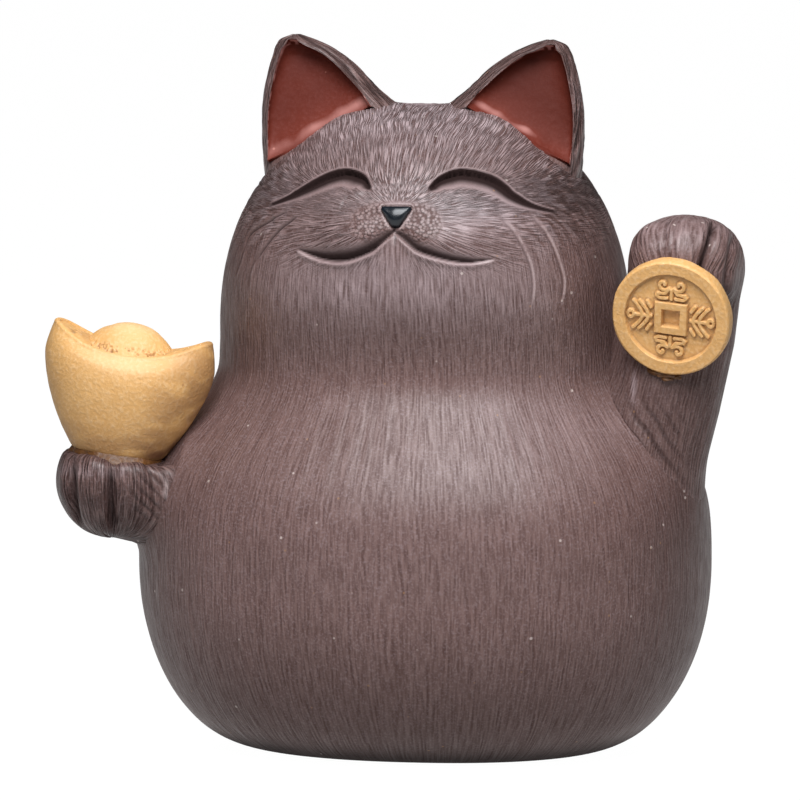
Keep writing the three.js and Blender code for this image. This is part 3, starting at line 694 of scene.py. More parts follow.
def make_head(material):
    turns, heights, points = head_points()
    aside = np.abs(points[..., 0])
    normals = grid_normals(points)
    normals[-1] = (0, 0, 1)
    grain = noise(points / 0.34, 31)
    strokes = combed(points, hair_flow(points, normals), grain, STROKE_LENGTH)
    push, shade, bare, pebbled = face_carving(points)
    upright = 1 - ramp(heights, 50.0, 57.0)
    outer = ramp(aside, 12.0, 18.0) * ramp(heights, 60, 66)
    depth = 0.012 + 0.013 * ramp(heights, 66, 71) + 0.035 * outer
    hair = straight_hair(turns, heights) * upright + np.tanh(1.1 * strokes) * (1 - upright)
    hair *= 1 - bare
    push += hair * (0.04 * upright + depth * (1 - upright))
    ears = np.minimum(ear_field(points, -1), ear_field(points, 1))
    inner = 1 - ramp(aside, 9.0, 14.0)
    push += fillet(limb_field(points, RAISED_ARM), 3.5) + fillet(ears, 2.4) * ramp(heights, 68, 72) * inner
    combed_cheek = 1.3 * bell(points[..., 0] + 8.3, 3.5) * bell(heights - 65.3, 2.0)
    push += 0.03 * combed_cheek * hair
    from_crown = np.hypot(points[..., 0], points[..., 1]) + 3 * (CROWN_HEIGHT - heights)
    # The shade holds painted shade in the eyes, mouth and whisker cuts and painted highlights on lips and
    # ridges; the outer term paints highlights on the side strokes' ridges
    attributes = dict(
        hair=hair, shade=shade, pebbled=pebbled, fan=fan_values(points),
        bare=np.maximum(bare, 0.8 * (1 - ramp(from_crown, 1.0, 4.0))),
        deep=0.3 + 0.7 * ramp(heights, 66, 72) + 0.9 * outer + combed_cheek,
        painted_light_and_wear=painted_light_share(points, normals) * (1 - 0.6 * pebbled) + outer * (0.12 + 0.3 * np.clip(hair, -1, 1)),
    )
    points = points + normals * push[..., None]
    below = [(0.0, NECK_HEIGHT + 0.8), (0.97, NECK_HEIGHT + 0.25)]
    rows = [drawn_in(points[:1], *place) for place in below] + [points]
    flow = np.stack([turns * HAIR_RADIUS, heights], -1)
    head = wrapped_grid("head_skin", np.concatenate(rows), attributes, flow, (len(below), 0))
    finish_piece(head, material, "head")


# Ears, each a shell with a cupped front and a red lining in the cup

EAR_LEVELS = 150
# Parts of an ear's section, with the columns of each
EAR_PARTS = (("back", 44), ("outer_rim", 16), ("cup", 84), ("inner_rim", 22))
LINING_COLUMNS = 110
# Level of an ear at which the way round it is measured
ROUND_LEVEL = 60


def smooth_row(height, places, values):
    """A smooth curve through values at places, read at heights."""
    slopes = np.gradient(values, places)
    height = np.clip(height, places[0], places[-1])
    first = np.clip(np.searchsorted(places, height, side="right") - 1, 0, len(places) - 2)
    step = places[first + 1] - places[first]
    t = (height - places[first]) / step
    bend = t * (1 - t)
    lean = slopes[first] * step * (1 - t) - slopes[first + 1] * step * t
    return values[first] + (values[first + 1] - values[first]) * t * t * (3 - 2 * t) + bend * lean


def ear_edges(height):
    rows = EAR_ROWS.T
    return [smooth_row(height, rows[0], rows[k]) for k in (1, 2, 3)]


def ear_field(points, side):
    """About how far points are outside an ear; side is -1 or 1."""
    height = points[..., 2]
    outer, inner, deep = ear_edges(np.clip(height, EAR_ROWS[0, 0], EAR_ROWS[-1, 0]))
    middle, half = (outer + inner) / 2, (outer - inner) / 2
    offset = np.hypot((points[..., 0] * side - middle) / half, (points[..., 1] - EAR_BACK) / deep)
    return (offset - 1) * np.minimum(half, deep)


def cup_foot(across):
    """Height of the lower edge of an ear's cup, which slopes down towards the outside."""
    return 79.2 - 0.54 * (across - 6.2)


def ear_section(height, share, part):
    """Point on an ear's section at a share of one part of it: round the back, a rim or the cup."""
    outer, inner, deep = ear_edges(height)
    middle, half = (outer + inner) / 2, (outer - inner) / 2
    opening = ramp(EAR_ROWS[-1, 0] - height, EAR_TOP_RIM - 0.2, EAR_TOP_RIM + 0.5)
    narrow = np.minimum(half / 3.2, 1)
    closing = 1 - ramp(EAR_ROWS[-1, 0] - height, EAR_TOP_RIM - 0.1, EAR_TOP_RIM + 1.2)
    high = outer - EAR_OUTER_RIM * narrow - 0.2 * closing * half
    low = np.minimum(inner + EAR_INNER_RIM * narrow + 0.3 * closing * half, high - 0.25)
    edge_out = np.arccos(np.clip((high - middle) / half, -1, 1))
    edge_in = np.arccos(np.clip((low - middle) / half, -1, 1))
    if part == "back":
        turn = math.pi * (1 - share)
    elif part == "outer_rim":
        turn = -edge_out * share
    elif part == "inner_rim":
        turn = -edge_in - (math.pi - edge_in) * share
    else:
        x = high + (low - high) * (0.5 - 0.5 * np.cos(math.pi * share))
        turn = -np.arccos(np.clip((x - middle) / half, -1, 1))
    x = middle + half * np.cos(turn)
    y = EAR_BACK + deep * np.sin(turn)
    if part == "cup":
        hollow = EAR_CUP * np.sin(math.pi * share) ** 0.85 * np.minimum(half / 4.5, 1)
        floor = np.minimum(y + hollow, EAR_BACK + 0.4 * deep)
        y = y + (floor - y) * opening * ramp(height - cup_foot(x), -0.6, 0.3)
    return x, y


def lowered(points, side):
    """The left ear was pressed a little lower at its tip than the right one."""
    drop = LEFT_EAR_DROP * ramp(points[..., 2], 79.0, 87.0) * (side > 0)
    return points - drop[..., None] * np.array([0, 0, 1.0])


def make_ear(side, material, lining_material, name):
    height = graded(EAR_ROWS[0, 0], EAR_ROWS[-1, 0], EAR_LEVELS, lambda z: np.where(z > 86, 0.08, 0.16))
    columns, outside = [], []
    for part, count in EAR_PARTS:
        for share in np.linspace(0, 1, count, endpoint=False):
            x, y = ear_section(height, share, part)
            columns.append(np.stack([x * side, y, height], -1))
            outside.append(part != "cup")
    points = np.stack(columns + columns[:1], axis=1)
    outside = np.broadcast_to(np.array(outside + [True]), points.shape[:2])
    if side < 0:
        points, outside = points[:, ::-1], outside[:, ::-1]
    normals = grid_normals(points)
    normals = normals * np.sign((normals * (points - [side * 11, EAR_BACK, 0]))[..., :2].sum(-1).mean())
    walked = np.cumsum(np.linalg.norm(np.diff(points[ROUND_LEVEL], axis=0), axis=-1))
    around = np.broadcast_to(np.concatenate([[0], walked]), points.shape[:2])
    slanted = around + 0.35 * points[..., 2]
    hair = 1.2 * noise(np.stack([slanted / 0.36, points[..., 2] / 2.2], -1), 51)
    hair += 0.8 * noise(np.stack([slanted / 0.8, points[..., 2] / 3.0], -1), 52)
    hair = hair * outside
    inner_side = ramp((10.5 - points[..., 0] * side) / 4, -0.5, 1)
    grow = fillet(head_field(points), 2.6) * outside * inner_side
    points = points + normals * (0.06 * hair + grow)[..., None]
    low = points[0].mean(axis=0) * [1, 1, 0] + [0, 0, EAR_ROWS[0, 0]]
    high = points[-1].mean(axis=0) * [1, 1, 0] + [0, 0, EAR_ROWS[-1, 0] + 0.05]
    points = lowered(capped(points, low, high), side)
    # Painted shade in the strokes' valleys, painted highlights on their ridges, and the rim darker as a whole
    attributes = dict(
        hair=hair, deep=2.5 * outside,
        shade=0.55 * np.clip(-0.15 - hair, 0, 1) * outside,
        painted_light_and_wear=(0.22 * np.clip(hair, -1, 1) - 0.1) * outside,
    )
    flow = np.stack([around, points[1:-1, :, 2]], -1)
    finish_piece(wrapped_grid(name + "_skin", points, attributes, flow), material, name)
    make_lining(side, height[height < EAR_ROWS[-1, 0] - EAR_TOP_RIM], lining_material, name + "_lining")


def make_lining(side, height, material, name):
    share = np.linspace(0.02, 0.98, LINING_COLUMNS)
    rings, tints = [], []
    for part_height in height:
        x, y = ear_section(np.full(share.shape, part_height), share, "cup")
        level = np.full(x.shape, part_height)
        flat = np.stack([x, level], -1)
        lumps = 0.11 * noise(flat / [2.8, 3.0], 61) + 0.025 * noise(flat / 0.7, 62)
        sides = np.minimum(share, 1 - share) * (x.max() - x.min())
        edge = ramp(sides, 0.05, 0.5)
        above = part_height - cup_foot(x)
        shown = ramp(above, -0.5, 0.2)
        rise = 1.7 * np.exp(-np.maximum(above, 0) / 1.5) * edge
        layer = (0.12 + (0.16 + lumps) * edge + rise) * shown - 0.5 * (1 - shown)
        front = np.stack([x * side, y - layer, level], -1)
        back = np.stack([x[::-3] * side, y[::-3] + 0.5, level[::-3]], -1)
        rings.append(np.concatenate([front, back, front[:1]]))
        top = EAR_ROWS[-1, 0] - EAR_TOP_RIM - part_height
        # Pale edges: worn, and painted highlights along the lit rim
        painted_light_and_wear = (1 - ramp(sides, 0.3, 0.8)) + (1 - ramp(top, 0.3, 0.8))
        tint = -0.8 * np.clip(painted_light_and_wear, 0, 1) * ramp(noise(flat / 0.4, 63), -0.5, 0.5)
        # Painted shade: darker towards the top of the cup, and all over the left ear's lining
        tint += 0.55 * ramp(above, 1.0, 6.0) * (tint > -0.05)
        tint += 0.45 * (side > 0) * (tint > -0.05)
        # Painted highlight: a pale, patchy band along the bottom of the cup
        patchy = 0.55 + 0.6 * noise(flat / 1.3, 64)
        tint -= (0.5 + 0.5 * (side > 0)) * patchy * bell(above - 0.7 - 0.4 * patchy, 0.7) * edge
        tints.append(np.concatenate([tint, np.zeros(len(back) + 1)]))
    points = lowered(capped(np.array(rings)), side)
    shade = np.array(tints)
    if side < 0:
        points, shade = points[:, ::-1], shade[:, ::-1]
    finish_piece(wrapped_grid(name + "_clay", points, dict(shade=shade)), material, name)


# Limbs, found by rays from their middle outwards to the skin

# Cuts between the toes: across at the top and bottom, depth and half width
RAISED_TOES = [
    (31.4, 30.7, 0.35, 0.26), (32.3, 31.5, 0.25, 0.2), (36.7, 35.1, 1.15, 0.34), (39.2, 38.4, 0.4, 0.36),
]
HOLDING_TOES = [(-40.9, -40.6, 0.95, 0.6), (-35.5, -35.7, 1.0, 0.62)]
RAISED_RADIUS = 7.0
HOLDING_RADIUS = 7.4
# Darkest painted shade in a toe cut
DARKEST_CUT = 0.9
CAST_STEPS = 90


def cast(origins, directions, field, longest):
    """Points where rays meet the outermost skin of a field."""
    way = np.full(origins.shape[:-1], float(longest))
    for _ in range(CAST_STEPS):
        way = way - np.clip(field(origins + directions * way[..., None]), -0.05, None) * 0.6
    return origins + directions * way[..., None]


def slerp(first, second, share):
    """Directions on the way from first to second."""
    angle = np.arccos(np.clip((first * second).sum(-1, keepdims=True), -1, 1))
    between = np.sin((1 - share) * angle) * first + np.sin(share * angle) * second
    return between / np.maximum(np.sin(angle), 1e-6)


def limb_skin(origins, directions, field, longest):
    """Skin of a limb where rays come out of it, its normals, and the way walked down each column."""
    points = cast(origins, directions, field, longest)
    normals = grid_normals(points)
    sound = np.linalg.norm(normals, axis=-1, keepdims=True) > 0.5
    normals = unit(np.where(sound, normals, directions))
    normals *= np.sign((normals * directions).sum(-1, keepdims=True))
    steps = np.linalg.norm(np.diff(points, axis=0), axis=-1)
    walked = np.concatenate([np.zeros(steps[:1].shape), np.cumsum(steps, axis=0)])
    return points, normals, walked


def limb_hair(turn, walked, seed, radius):
    """Strokes that run along a limb, and their places in millimetres across and along it."""
    turns = np.broadcast_to(turn, walked.shape)
    return straight_hair(turns, walked, seed, radius, LIMB_WIDTHS), np.stack([turns * radius, walked], -1)


def toe_cuts(x, z, toes, low, high, shading):
    """Depth of the cuts between toes and the painted shade in them, from their bottom at low to their top at
    high.
    """
    deep, dark = np.zeros(x.shape), np.zeros(x.shape)
    for top, bottom, depth, half in toes:
        cut = bell(x - bottom - (top - bottom) * ramp(z, low, high), half)
        deep += depth * cut
        dark += min(shading * depth, DARKEST_CUT) * cut
    return deep, dark


def raised_field(points):
    arm = limb_field(points, RAISED_ARM)
    centre, half = np.array(PAW_FOLD[0]), np.array(PAW_FOLD[1])
    offset = (np.abs((points - centre) / half) ** PAW_SQUARENESS).sum(-1) ** (1 / PAW_SQUARENESS)
    return blended(arm, (offset - 1) * half.min(), 1.8)


def make_raised_arm(material):
    columns, spine_rows, cap_rows = 300, 210, 120
    turn = np.linspace(0, 2 * math.pi, columns + 1)
    level = np.stack([np.cos(turn), np.sin(turn), 0 * turn], -1)
    nodes = np.array([middle for middle, _ in RAISED_ARM])
    height = np.linspace(27.0, 60.5, spine_rows)
    x, y = (np.interp(height, nodes[:, 2], nodes[:, k]) for k in (0, 1))
    spine = np.stack([x, y - 1.6 * ramp(height, 50, 60), height], -1)
    origins = np.repeat(spine[:, None], columns + 1, axis=1)
    directions = np.repeat(level[None], spine_rows, axis=0)
    tip = np.array([0.0, 0.78, 0.62])
    share = np.linspace(0, 1, cap_rows + 1)[1:, None, None]
    cap_directions = slerp(level[None], np.broadcast_to(tip, level.shape)[None], share)
    cap_origins = np.broadcast_to(spine[-1], cap_directions.shape)
    origins = np.concatenate([origins, cap_origins])
    directions = np.concatenate([directions, cap_directions])
    points, normals, walked = limb_skin(origins, directions, raised_field, 14)
    bare = 1 - ramp(walked[-1] - walked, 0.6, 3.0)
    hair, flow = limb_hair(turn, walked, 5, RAISED_RADIUS)
    hair = hair * (1 - bare)
    x, y, z = points[..., 0], points[..., 1], points[..., 2]
    front = ramp(-y, 8.5, 12.0) * ramp(z, 55.0, 57.5)
    cuts, shade = toe_cuts(x, z, RAISED_TOES, 58.0, 66.0, 0.85)
    toes = sum(bell(x - centre, half) for centre, half in ((28.6, 1.8), (33.6, 1.8), (38.0, 1.3)))
    crease = ramp(z, 26, 30) * (1 - ramp(z, 40, 47)) * ramp(-y, 6, 10) * (1 - ramp(x, 30, 35))
    folds = np.sin((0.85 * x + 0.55 * z) * 2 * math.pi / 1.5 + 1.5 * noise(points / 3.0, 9))
    creased = crease * ramp(folds, 0.1, 0.9)
    push = 0.05 * hair + (0.3 * toes - cuts) * front - 0.16 * creased + fillet(body_field(points), 3.2)
    # Painted light: paler on the paw's top and at its join with the body, darker below; the shade paints
    # shadow into the toe cuts and folds
    painted_light_and_wear = 0.22 * ramp(z, 62, 65.5) * ramp(-y, 6, 11) - 0.24 * (1 - ramp(z, 56, 63))
    painted_light_and_wear += painted_highlight_spot(points, *JOIN_HIGHLIGHT) * ramp(-y, 4, 8)
    attributes = dict(
        hair=hair, bare=bare, painted_light_and_wear=painted_light_and_wear, deep=0.5 + 0.5 * ramp(z, 50, 56),
        shade=np.clip(shade * front + 0.5 * creased, 0, 1),
    )
    points = capped(points + normals * push[..., None], spine[0])
    finish_piece(wrapped_grid("raised_arm_skin", points, attributes, flow), material, "raised_arm")


def ingot_frame():
    """The ingot's own axes and its seat, as rows."""
    cosine, sine = math.cos(INGOT_LEAN), math.sin(INGOT_LEAN)
    axes = np.array([(cosine, 0, -sine), (0, 1, 0), (sine, 0, cosine)])
    return axes, np.array(INGOT_SEAT)


def holding_field(points):
    axes, seat = ingot_frame()
    arm = limb_field(points, HOLDING_ARM)
    above = (points - seat) @ axes[2] + 0.1
    return -blended(-arm, -above, 1.0)


def make_holding_arm(material):
    columns, rows = 330, 170
    turn = np.linspace(0, 2 * math.pi, columns + 1)
    tilt = np.linspace(0, math.pi, rows + 1)[1:-1, None]
    upwards = np.broadcast_to(np.cos(tilt), (rows - 1, columns + 1))
    directions = np.stack([np.sin(tilt) * np.cos(turn), np.sin(tilt) * np.sin(turn), upwards], -1)
    origins = np.broadcast_to(PALM_MIDDLE, directions.shape)
    points, normals, walked = limb_skin(origins, directions, holding_field, 17)
    hair, flow = limb_hair(turn, walked, 7, HOLDING_RADIUS)
    x, y, z = points[..., 0], points[..., 1], points[..., 2]
    front = ramp(-y, 15.5, 18.0) * (1 - 0.4 * ramp(30 - z, 0, 3))
    below_rim = 1 - 0.75 * ramp(z, 34.0, 36.6)
    cuts, shade = toe_cuts(x, z, HOLDING_TOES, 28.0, 36.0, 0.75)
    toes = sum(bell(x - centre, 1.4) for centre in (-43.0, -38.2, -32.8)) * ramp(z, 30, 33)
    crease = bell(x + 31.0, 1.8) * ramp(-y, 12, 15) * ramp(z, 28, 31)
    creased = crease * ramp(np.sin((0.75 * x + 0.7 * z) * 2 * math.pi / 1.1), 0.0, 0.9)
    push = (0.06 + 0.05 * (1 - ramp(z, 27, 32))) * hair - 0.12
    push += (0.35 * toes - cuts * below_rim) * front - 0.14 * creased + fillet(body_field(points), 3.0)
    # Painted highlight: a pale strip down the fillet between paw and body
    painted_fillet_highlight = bell(x + 29.2, 0.28) * bell(z - 33.2, 1.5) * ramp(-y, 10, 12)
    # The shade paints shadow into the toe cuts and folds; painted light pales the toe tops and darkens the
    # rest
    attributes = dict(
        hair=hair, deep=np.full(hair.shape, 2.0),
        shade=np.clip(shade * front * below_rim + 0.4 * creased - 0.5 * painted_fillet_highlight, -1, 1),
        painted_light_and_wear=0.5 * bell(z - 35.4, 1.1) * ramp(-y, 14, 17) * ramp(-x, 32, 35) - 0.24,
    )
    points = capped(points + normals * push[..., None])
    finish_piece(wrapped_grid("holding_arm_skin", points, attributes, flow), material, "holding_arm")


# Ingot

RIM_WIDTH = 1.1
RIM_HEIGHT = INGOT_SADDLE - 0.35
RIM_LIFT = 0.965
RIM_POINT = 1.04
TIP_LIFT = INGOT_TIP_HEIGHT - INGOT_SADDLE
BASIN_ROWS = 34
INGOT_COLUMNS = 321


def to_place(points, axes, seat):
    return points @ axes + seat


def ingot_piece(name, points, material, node, attributes=None):
    finish_piece(wrapped_grid(name, to_place(points, *ingot_frame()), attributes), material, node)


def ingot_ring(half, narrow, height, lift, pointed, turn):
    cosine, sine = np.cos(turn), np.sin(turn)
    y = narrow * np.sign(sine) * np.abs(sine) ** pointed
    rise = lift * (np.abs(cosine) ** 2.2 - 0.12 * np.abs(cosine) ** 14)
    return np.stack([half * cosine, y, height + rise], -1)


def boat_rings(turn):
    """Rings of the boat: up its sides, over its rim and down into its basin."""
    lifted = lambda height: TIP_LIFT * (height / INGOT_SADDLE) ** 2
    rings = []
    for share in np.linspace(0, 1, 56):
        half = INGOT_FOOT + (INGOT_FULL - INGOT_FOOT) * (1 - (1 - share) ** 1.5)
        half -= 0.35 * (1 - ramp(share, 0, 0.05))
        height = INGOT_FULL_HEIGHT * share
        narrow = half * (INGOT_FOOT_NARROW + (INGOT_NARROW - INGOT_FOOT_NARROW) * share)
        rings.append(ingot_ring(half, narrow, height, lifted(height), 1 + 0.12 * share, turn))
    for share in np.linspace(0, 1, 26)[1:]:
        height = INGOT_FULL_HEIGHT + (RIM_HEIGHT - INGOT_FULL_HEIGHT) * share
        half = INGOT_FULL + (INGOT_TIP - INGOT_FULL) * share ** 1.6
        swell = 0.1 * bell(share - 0.6, 0.3) - 0.015 * bell(share - 0.12, 0.1)
        narrow = half * INGOT_NARROW + swell - RIM_ROLL * share ** 2.2
        rings.append(ingot_ring(half, narrow, height, lifted(height), 1.12 - 0.08 * share, turn))
    rim_narrow = INGOT_TIP * INGOT_NARROW - RIM_ROLL
    for share in np.linspace(0, 1, 14)[1:]:
        bend = math.pi * share
        inset = 0.5 * RIM_WIDTH * (1 - math.cos(bend))
        height = RIM_HEIGHT + 0.4 * math.sin(bend)
        half = INGOT_TIP - 0.7 * inset
        rings.append(ingot_ring(half, rim_narrow - inset, height, TIP_LIFT * RIM_LIFT, RIM_POINT, turn))
    rim_half = INGOT_TIP - 0.7 * RIM_WIDTH
    for share in np.linspace(0, 1, 30)[1:]:
        inward = 1 - (1 - share) ** 1.8
        half = rim_half + (BASIN_HALF - 1.2 - rim_half) * inward
        height = RIM_HEIGHT + (BASIN_FLOOR - RIM_HEIGHT) * inward
        rise = TIP_LIFT * RIM_LIFT * (1 - 0.7 * inward)
        rings.append(ingot_ring(half, rim_narrow - RIM_WIDTH - 1.6 * inward, height, rise, RIM_POINT, turn))
    return np.array(rings)


def make_boat(turn, material):
    points = boat_rings(turn)
    wobble = 0.05 * noise(points / 3.2, 71) + 0.02 * noise(points / 0.9, 72)
    points = points + grid_normals(points) * wobble[..., None]
    across, deep = (points[..., 0] - DOME_ASIDE) / DOME_HALF, points[..., 1] / (DOME_HALF * DOME_NARROW)
    from_dome = np.hypot(across, deep) - 1
    basin = (np.arange(len(points)) >= len(points) - BASIN_ROWS)[:, None]
    pits = ramp(noise(points / 0.42, 77), 0.25, 0.5) * (1 - ramp(from_dome, 0.12, 0.4)) * basin
    points[..., 2] -= 0.15 * pits
    x, z = points[..., 0], points[..., 2]
    # Darker on the right and towards the foot, in patches: painted shade and stains both
    painted_light_and_stains = 0.7 * ramp(x - 0.35 * (z - 6.0), 1.0, 8.0) + 0.6 * (1 - ramp(z, 1.0, 5.0))
    painted_light_and_stains *= ramp(noise(points / np.array([2.4, 2.4, 1.0]), 79), -0.9, 0.4) * ~basin
    # A painted highlight along the front lip
    painted_light_and_stains -= 0.3 * bell(z - 12.3, 1.6) * ramp(4.0 - np.abs(x), -4.0, 4.0) * ~basin
    # Painted shade in the pits and where the basin meets the dome
    shade = painted_light_and_stains + pits + 0.3 * (1 - ramp(from_dome, 0.0, 0.15)) * basin
    low, high = (row.mean(axis=0) * [0, 0, 1] for row in (points[0], points[-1]))
    ingot_piece("ingot_boat_clay", capped(points, low, high), material, "ingot_boat", dict(shade=shade))


def make_dome(turn, material):
    out = np.sin(np.linspace(0, math.pi / 2, 70))[1:, None] * 1.08
    rise = DOME_TOP - (DOME_TOP - BASIN_FLOOR) * out ** 2.2
    dome = np.stack([
        DOME_ASIDE + DOME_HALF * out * np.cos(turn),
        DOME_HALF * DOME_NARROW * out * np.sin(turn),
        np.broadcast_to(rise, (len(out), turn.size)),
    ], -1)
    lumps = 0.05 * noise(dome / 2.6, 73) + 0.012 * noise(dome / 0.7, 74)
    pits = ramp(noise(dome / 0.22, 77), 0.25, 0.5) * bell(out - 0.95, 0.07)
    dome = capped(
        dome * (1 + (lumps - 0.15 * pits)[..., None] / 6),
        (DOME_ASIDE, 0, DOME_TOP), (DOME_ASIDE, 0, BASIN_FLOOR - 1.6))
    # Painted shade in the pits, and a painted highlight paling the dome's top
    shade = pits - 0.35 * (1 - ramp(out, 0.3, 0.8))
    ingot_piece("ingot_dome_clay", dome, material, "ingot_dome", dict(shade=shade))


def make_ingot_slip(turn, material):
    ragged = 0
    for cells, depth, seed in ((14, 0.3, 75), (46, 0.12, 76)):
        ragged += depth * noise(np.stack([turn / (2 * math.pi) * cells, 0 * turn], -1), seed, cells)
    rings = []
    for share in np.linspace(0, 1, 22):
        spread = 0.15 + (0.55 + ragged) * math.cos(0.5 * math.pi * share) ** 1.5
        narrow = INGOT_FOOT * INGOT_FOOT_NARROW + spread
        rings.append(ingot_ring(INGOT_FOOT + spread - 0.1, narrow, -0.75 + 1.55 * share, 0, 1, turn))
    slip = np.array(rings)
    slip = slip + unit(slip * [1, 1, 0]) * (0.06 * noise(slip / 0.5, 78))[..., None]
    ingot_piece("ingot_slip_clay", capped(slip, (0, 0, -0.7), (0, 0, 0.8)), material, "ingot_slip")


def make_ingot(material, slip_material):
    turn = np.linspace(0, 2 * math.pi, INGOT_COLUMNS)
    make_boat(turn, material)
    make_dome(turn, material)
    make_ingot_slip(turn, slip_material)


# Coin, with cloud scrolls round a square frame

COIN_COLUMNS = 291
COIN_SHARP_ANGLE = math.radians(50)
# Crumbs of slip at the coin's lower edge: place along the coin's axes, and size
CRUMBS = [(0, 0, 0, 1.0), (1.3, -0.1, -0.25, 0.55), (-1.1, 0.1, 0.1, 0.6), (0.6, -0.5, -0.55, 0.4)]
CRUMB_HALF = (1.8, 0.9, 0.6)


def turned_axes(about, angle):
    """Axes turned about one of the three, as rows."""
    first, second = [(1, 2), (2, 0), (0, 1)][about]
    axes = np.eye(3)
    axes[first, first] = axes[second, second] = math.cos(angle)
    axes[first, second], axes[second, first] = math.sin(angle), -math.sin(angle)
    return axes


def coin_frame():
    """The coin's own axes, as rows, and its middle."""
    axes = turned_axes(1, -COIN_TURN) @ turned_axes(0, COIN_LEAN) @ turned_axes(2, COIN_ASIDE)
    return axes, np.array(COIN_CENTRE)


def scroll_lines():
    """Lines of a cloud scroll and of a leaf spray, drawn above the frame in coin millimetres."""
    cloud, spray = [], []
    for side in (-1, 1):
        angle = np.linspace(0, 1.75 * math.pi, 24)
        radius = 0.12 + 0.66 * angle / angle[-1]
        cloud.append(np.stack([side * (0.98 - radius * np.cos(angle)), 4.25 + radius * np.sin(angle)], -1))
        cloud.append(np.array([(side * 0.3, 3.75), (side * 0.75, 3.15), (side * 1.7, 3.05)]))
        cloud.append(np.array([(side * 0.55, 2.55), (side * 1.45, 2.5), (side * 1.85, 2.8)]))
        for low in (2.75, 3.5):
            bend = np.linspace(0, 1, 9)
            spray.append(np.stack([side * 1.75 * bend, low + 1.15 * bend ** 1.6], -1))
        spray.append(np.array([(side * 1.15, 2.5), (side * 1.8, 2.95)]))
    cloud.append(np.array([(0, 2.45), (0, 3.6)]))
    spray.append(np.array([(0, 2.45), (0, 4.6)]))
    angle = np.linspace(0, 2 * math.pi, 18)
    spray.append(np.stack([0.42 * np.cos(angle), 4.95 + 0.36 * np.sin(angle)], -1))
    return cloud, spray


def coin_height(flat):
    """Height of the coin's face over its field, and a hollow shade, at places across and up."""
    across, up = flat[..., 0], flat[..., 1]
    radius = np.hypot(across, up)
    rim_edge = COIN_RADIUS - COIN_RIM + 0.06 * noise(flat / 1.5, 81)
    height = COIN_RECESS * ramp(radius, rim_edge - 0.14, rim_edge + 0.12)
    best = np.full(radius.shape, np.inf)
    for quarter in range(4):
        cosine, sine = math.cos(quarter * math.pi / 2), math.sin(quarter * math.pi / 2)
        x, y = across * cosine + up * sine, -across * sine + up * cosine
        near = (y > 2.1) & (np.abs(x) < 2.6) & (radius < COIN_RADIUS - COIN_RIM + 0.1)
        spot = np.stack([x[near], y[near]], -1)
        distance = np.full(len(spot), np.inf)
        for line in scroll_lines()[quarter % 2]:
            for start, end in zip(line[:-1], line[1:]):
                _, offset = on_segment(spot, start, end)
                distance = np.minimum(distance, np.linalg.norm(offset, axis=-1))
        best[near] = np.minimum(best[near], distance)
    raised = 1 - ramp(best, 0.15, 0.33)
    square = np.maximum(np.abs(across), np.abs(up)) + 0.03 * noise(flat / 0.8, 82)
    frame_part = 1 - ramp(square, COIN_FRAME_HALF - 0.05, COIN_FRAME_HALF + 0.14)
    hole = 1 - ramp(square, COIN_HOLE_HALF - 0.12, COIN_HOLE_HALF + 0.06)
    height = np.maximum(np.maximum(height, 0.42 * raised), 0.5 * frame_part)
    height = height * (1 - hole) - (COIN_HOLE_DEPTH - COIN_RECESS) * hole
    # Painted shade along the walls of the strokes, the frame, the rim and the hole
    wall = 0.5 * ramp(best, 0.2, 0.32) * (1 - ramp(best, 0.34, 0.55))
    wall += 0.5 * bell(square - COIN_FRAME_HALF - 0.18, 0.16) + 0.4 * bell(radius - rim_edge + 0.18, 0.16)
    wall += 0.5 * bell(square - COIN_HOLE_HALF + 0.12, 0.1)
    return height, np.clip(wall, 0, 1)


def make_coin(material, slip_material):
    axes, centre = coin_frame()
    u, v = np.meshgrid(*[np.linspace(-1, 1, COIN_COLUMNS)] * 2)
    flat = np.stack([u * np.sqrt(1 - v * v / 2), v * np.sqrt(1 - u * u / 2)], -1) * COIN_RADIUS
    radius = np.hypot(flat[..., 0], flat[..., 1])
    uneven = 1 + 0.012 * noise(flat / 3.0, 85) * ramp(radius, 4.0, COIN_RADIUS)
    flat = flat * uneven[..., None]
    radius = np.hypot(flat[..., 0], flat[..., 1])
    height, shade = coin_height(flat)
    height -= 0.22 * ramp(radius, COIN_RADIUS - 0.3, COIN_RADIUS + 0.02) ** 2
    grain = 0.012 * noise(flat / 0.6, 83) + 0.03 * noise(flat / 1.6, 84)
    face = -COIN_THICKNESS / 2 + COIN_RECESS - height - grain
    points = to_place(np.stack([flat[..., 0], face, flat[..., 1]], -1), axes, centre)
    coin = wrapped_grid("coin_clay", points, dict(shade=shade), added=(0, 0), closed=False)
    select_only(coin)
    bpy.ops.object.mode_set(mode="EDIT")
    bpy.ops.mesh.select_all(action="SELECT")
    bpy.ops.mesh.region_to_loop()
    backwards = Vector(axes[1]) * MM
    pivot = Vector(centre) * MM
    for step, size in ((0.3, 1.004), (COIN_THICKNESS - 0.85, 1.0), (0.25, 0.985)):
        bpy.ops.mesh.extrude_region_move(TRANSFORM_OT_translate={"value": backwards * step})
        bpy.ops.transform.resize(value=(size, size, size), center_override=pivot)
    bpy.ops.mesh.edge_face_add()
    bpy.ops.mesh.select_all(action="SELECT")
    bpy.ops.mesh.normals_make_consistent(inside=False)
    bpy.ops.object.mode_set(mode="OBJECT")
    bpy.ops.object.shade_smooth_by_angle(angle=COIN_SHARP_ANGLE)
    finish_piece(coin, material, "coin")
    make_coin_slip(axes, centre, slip_material)


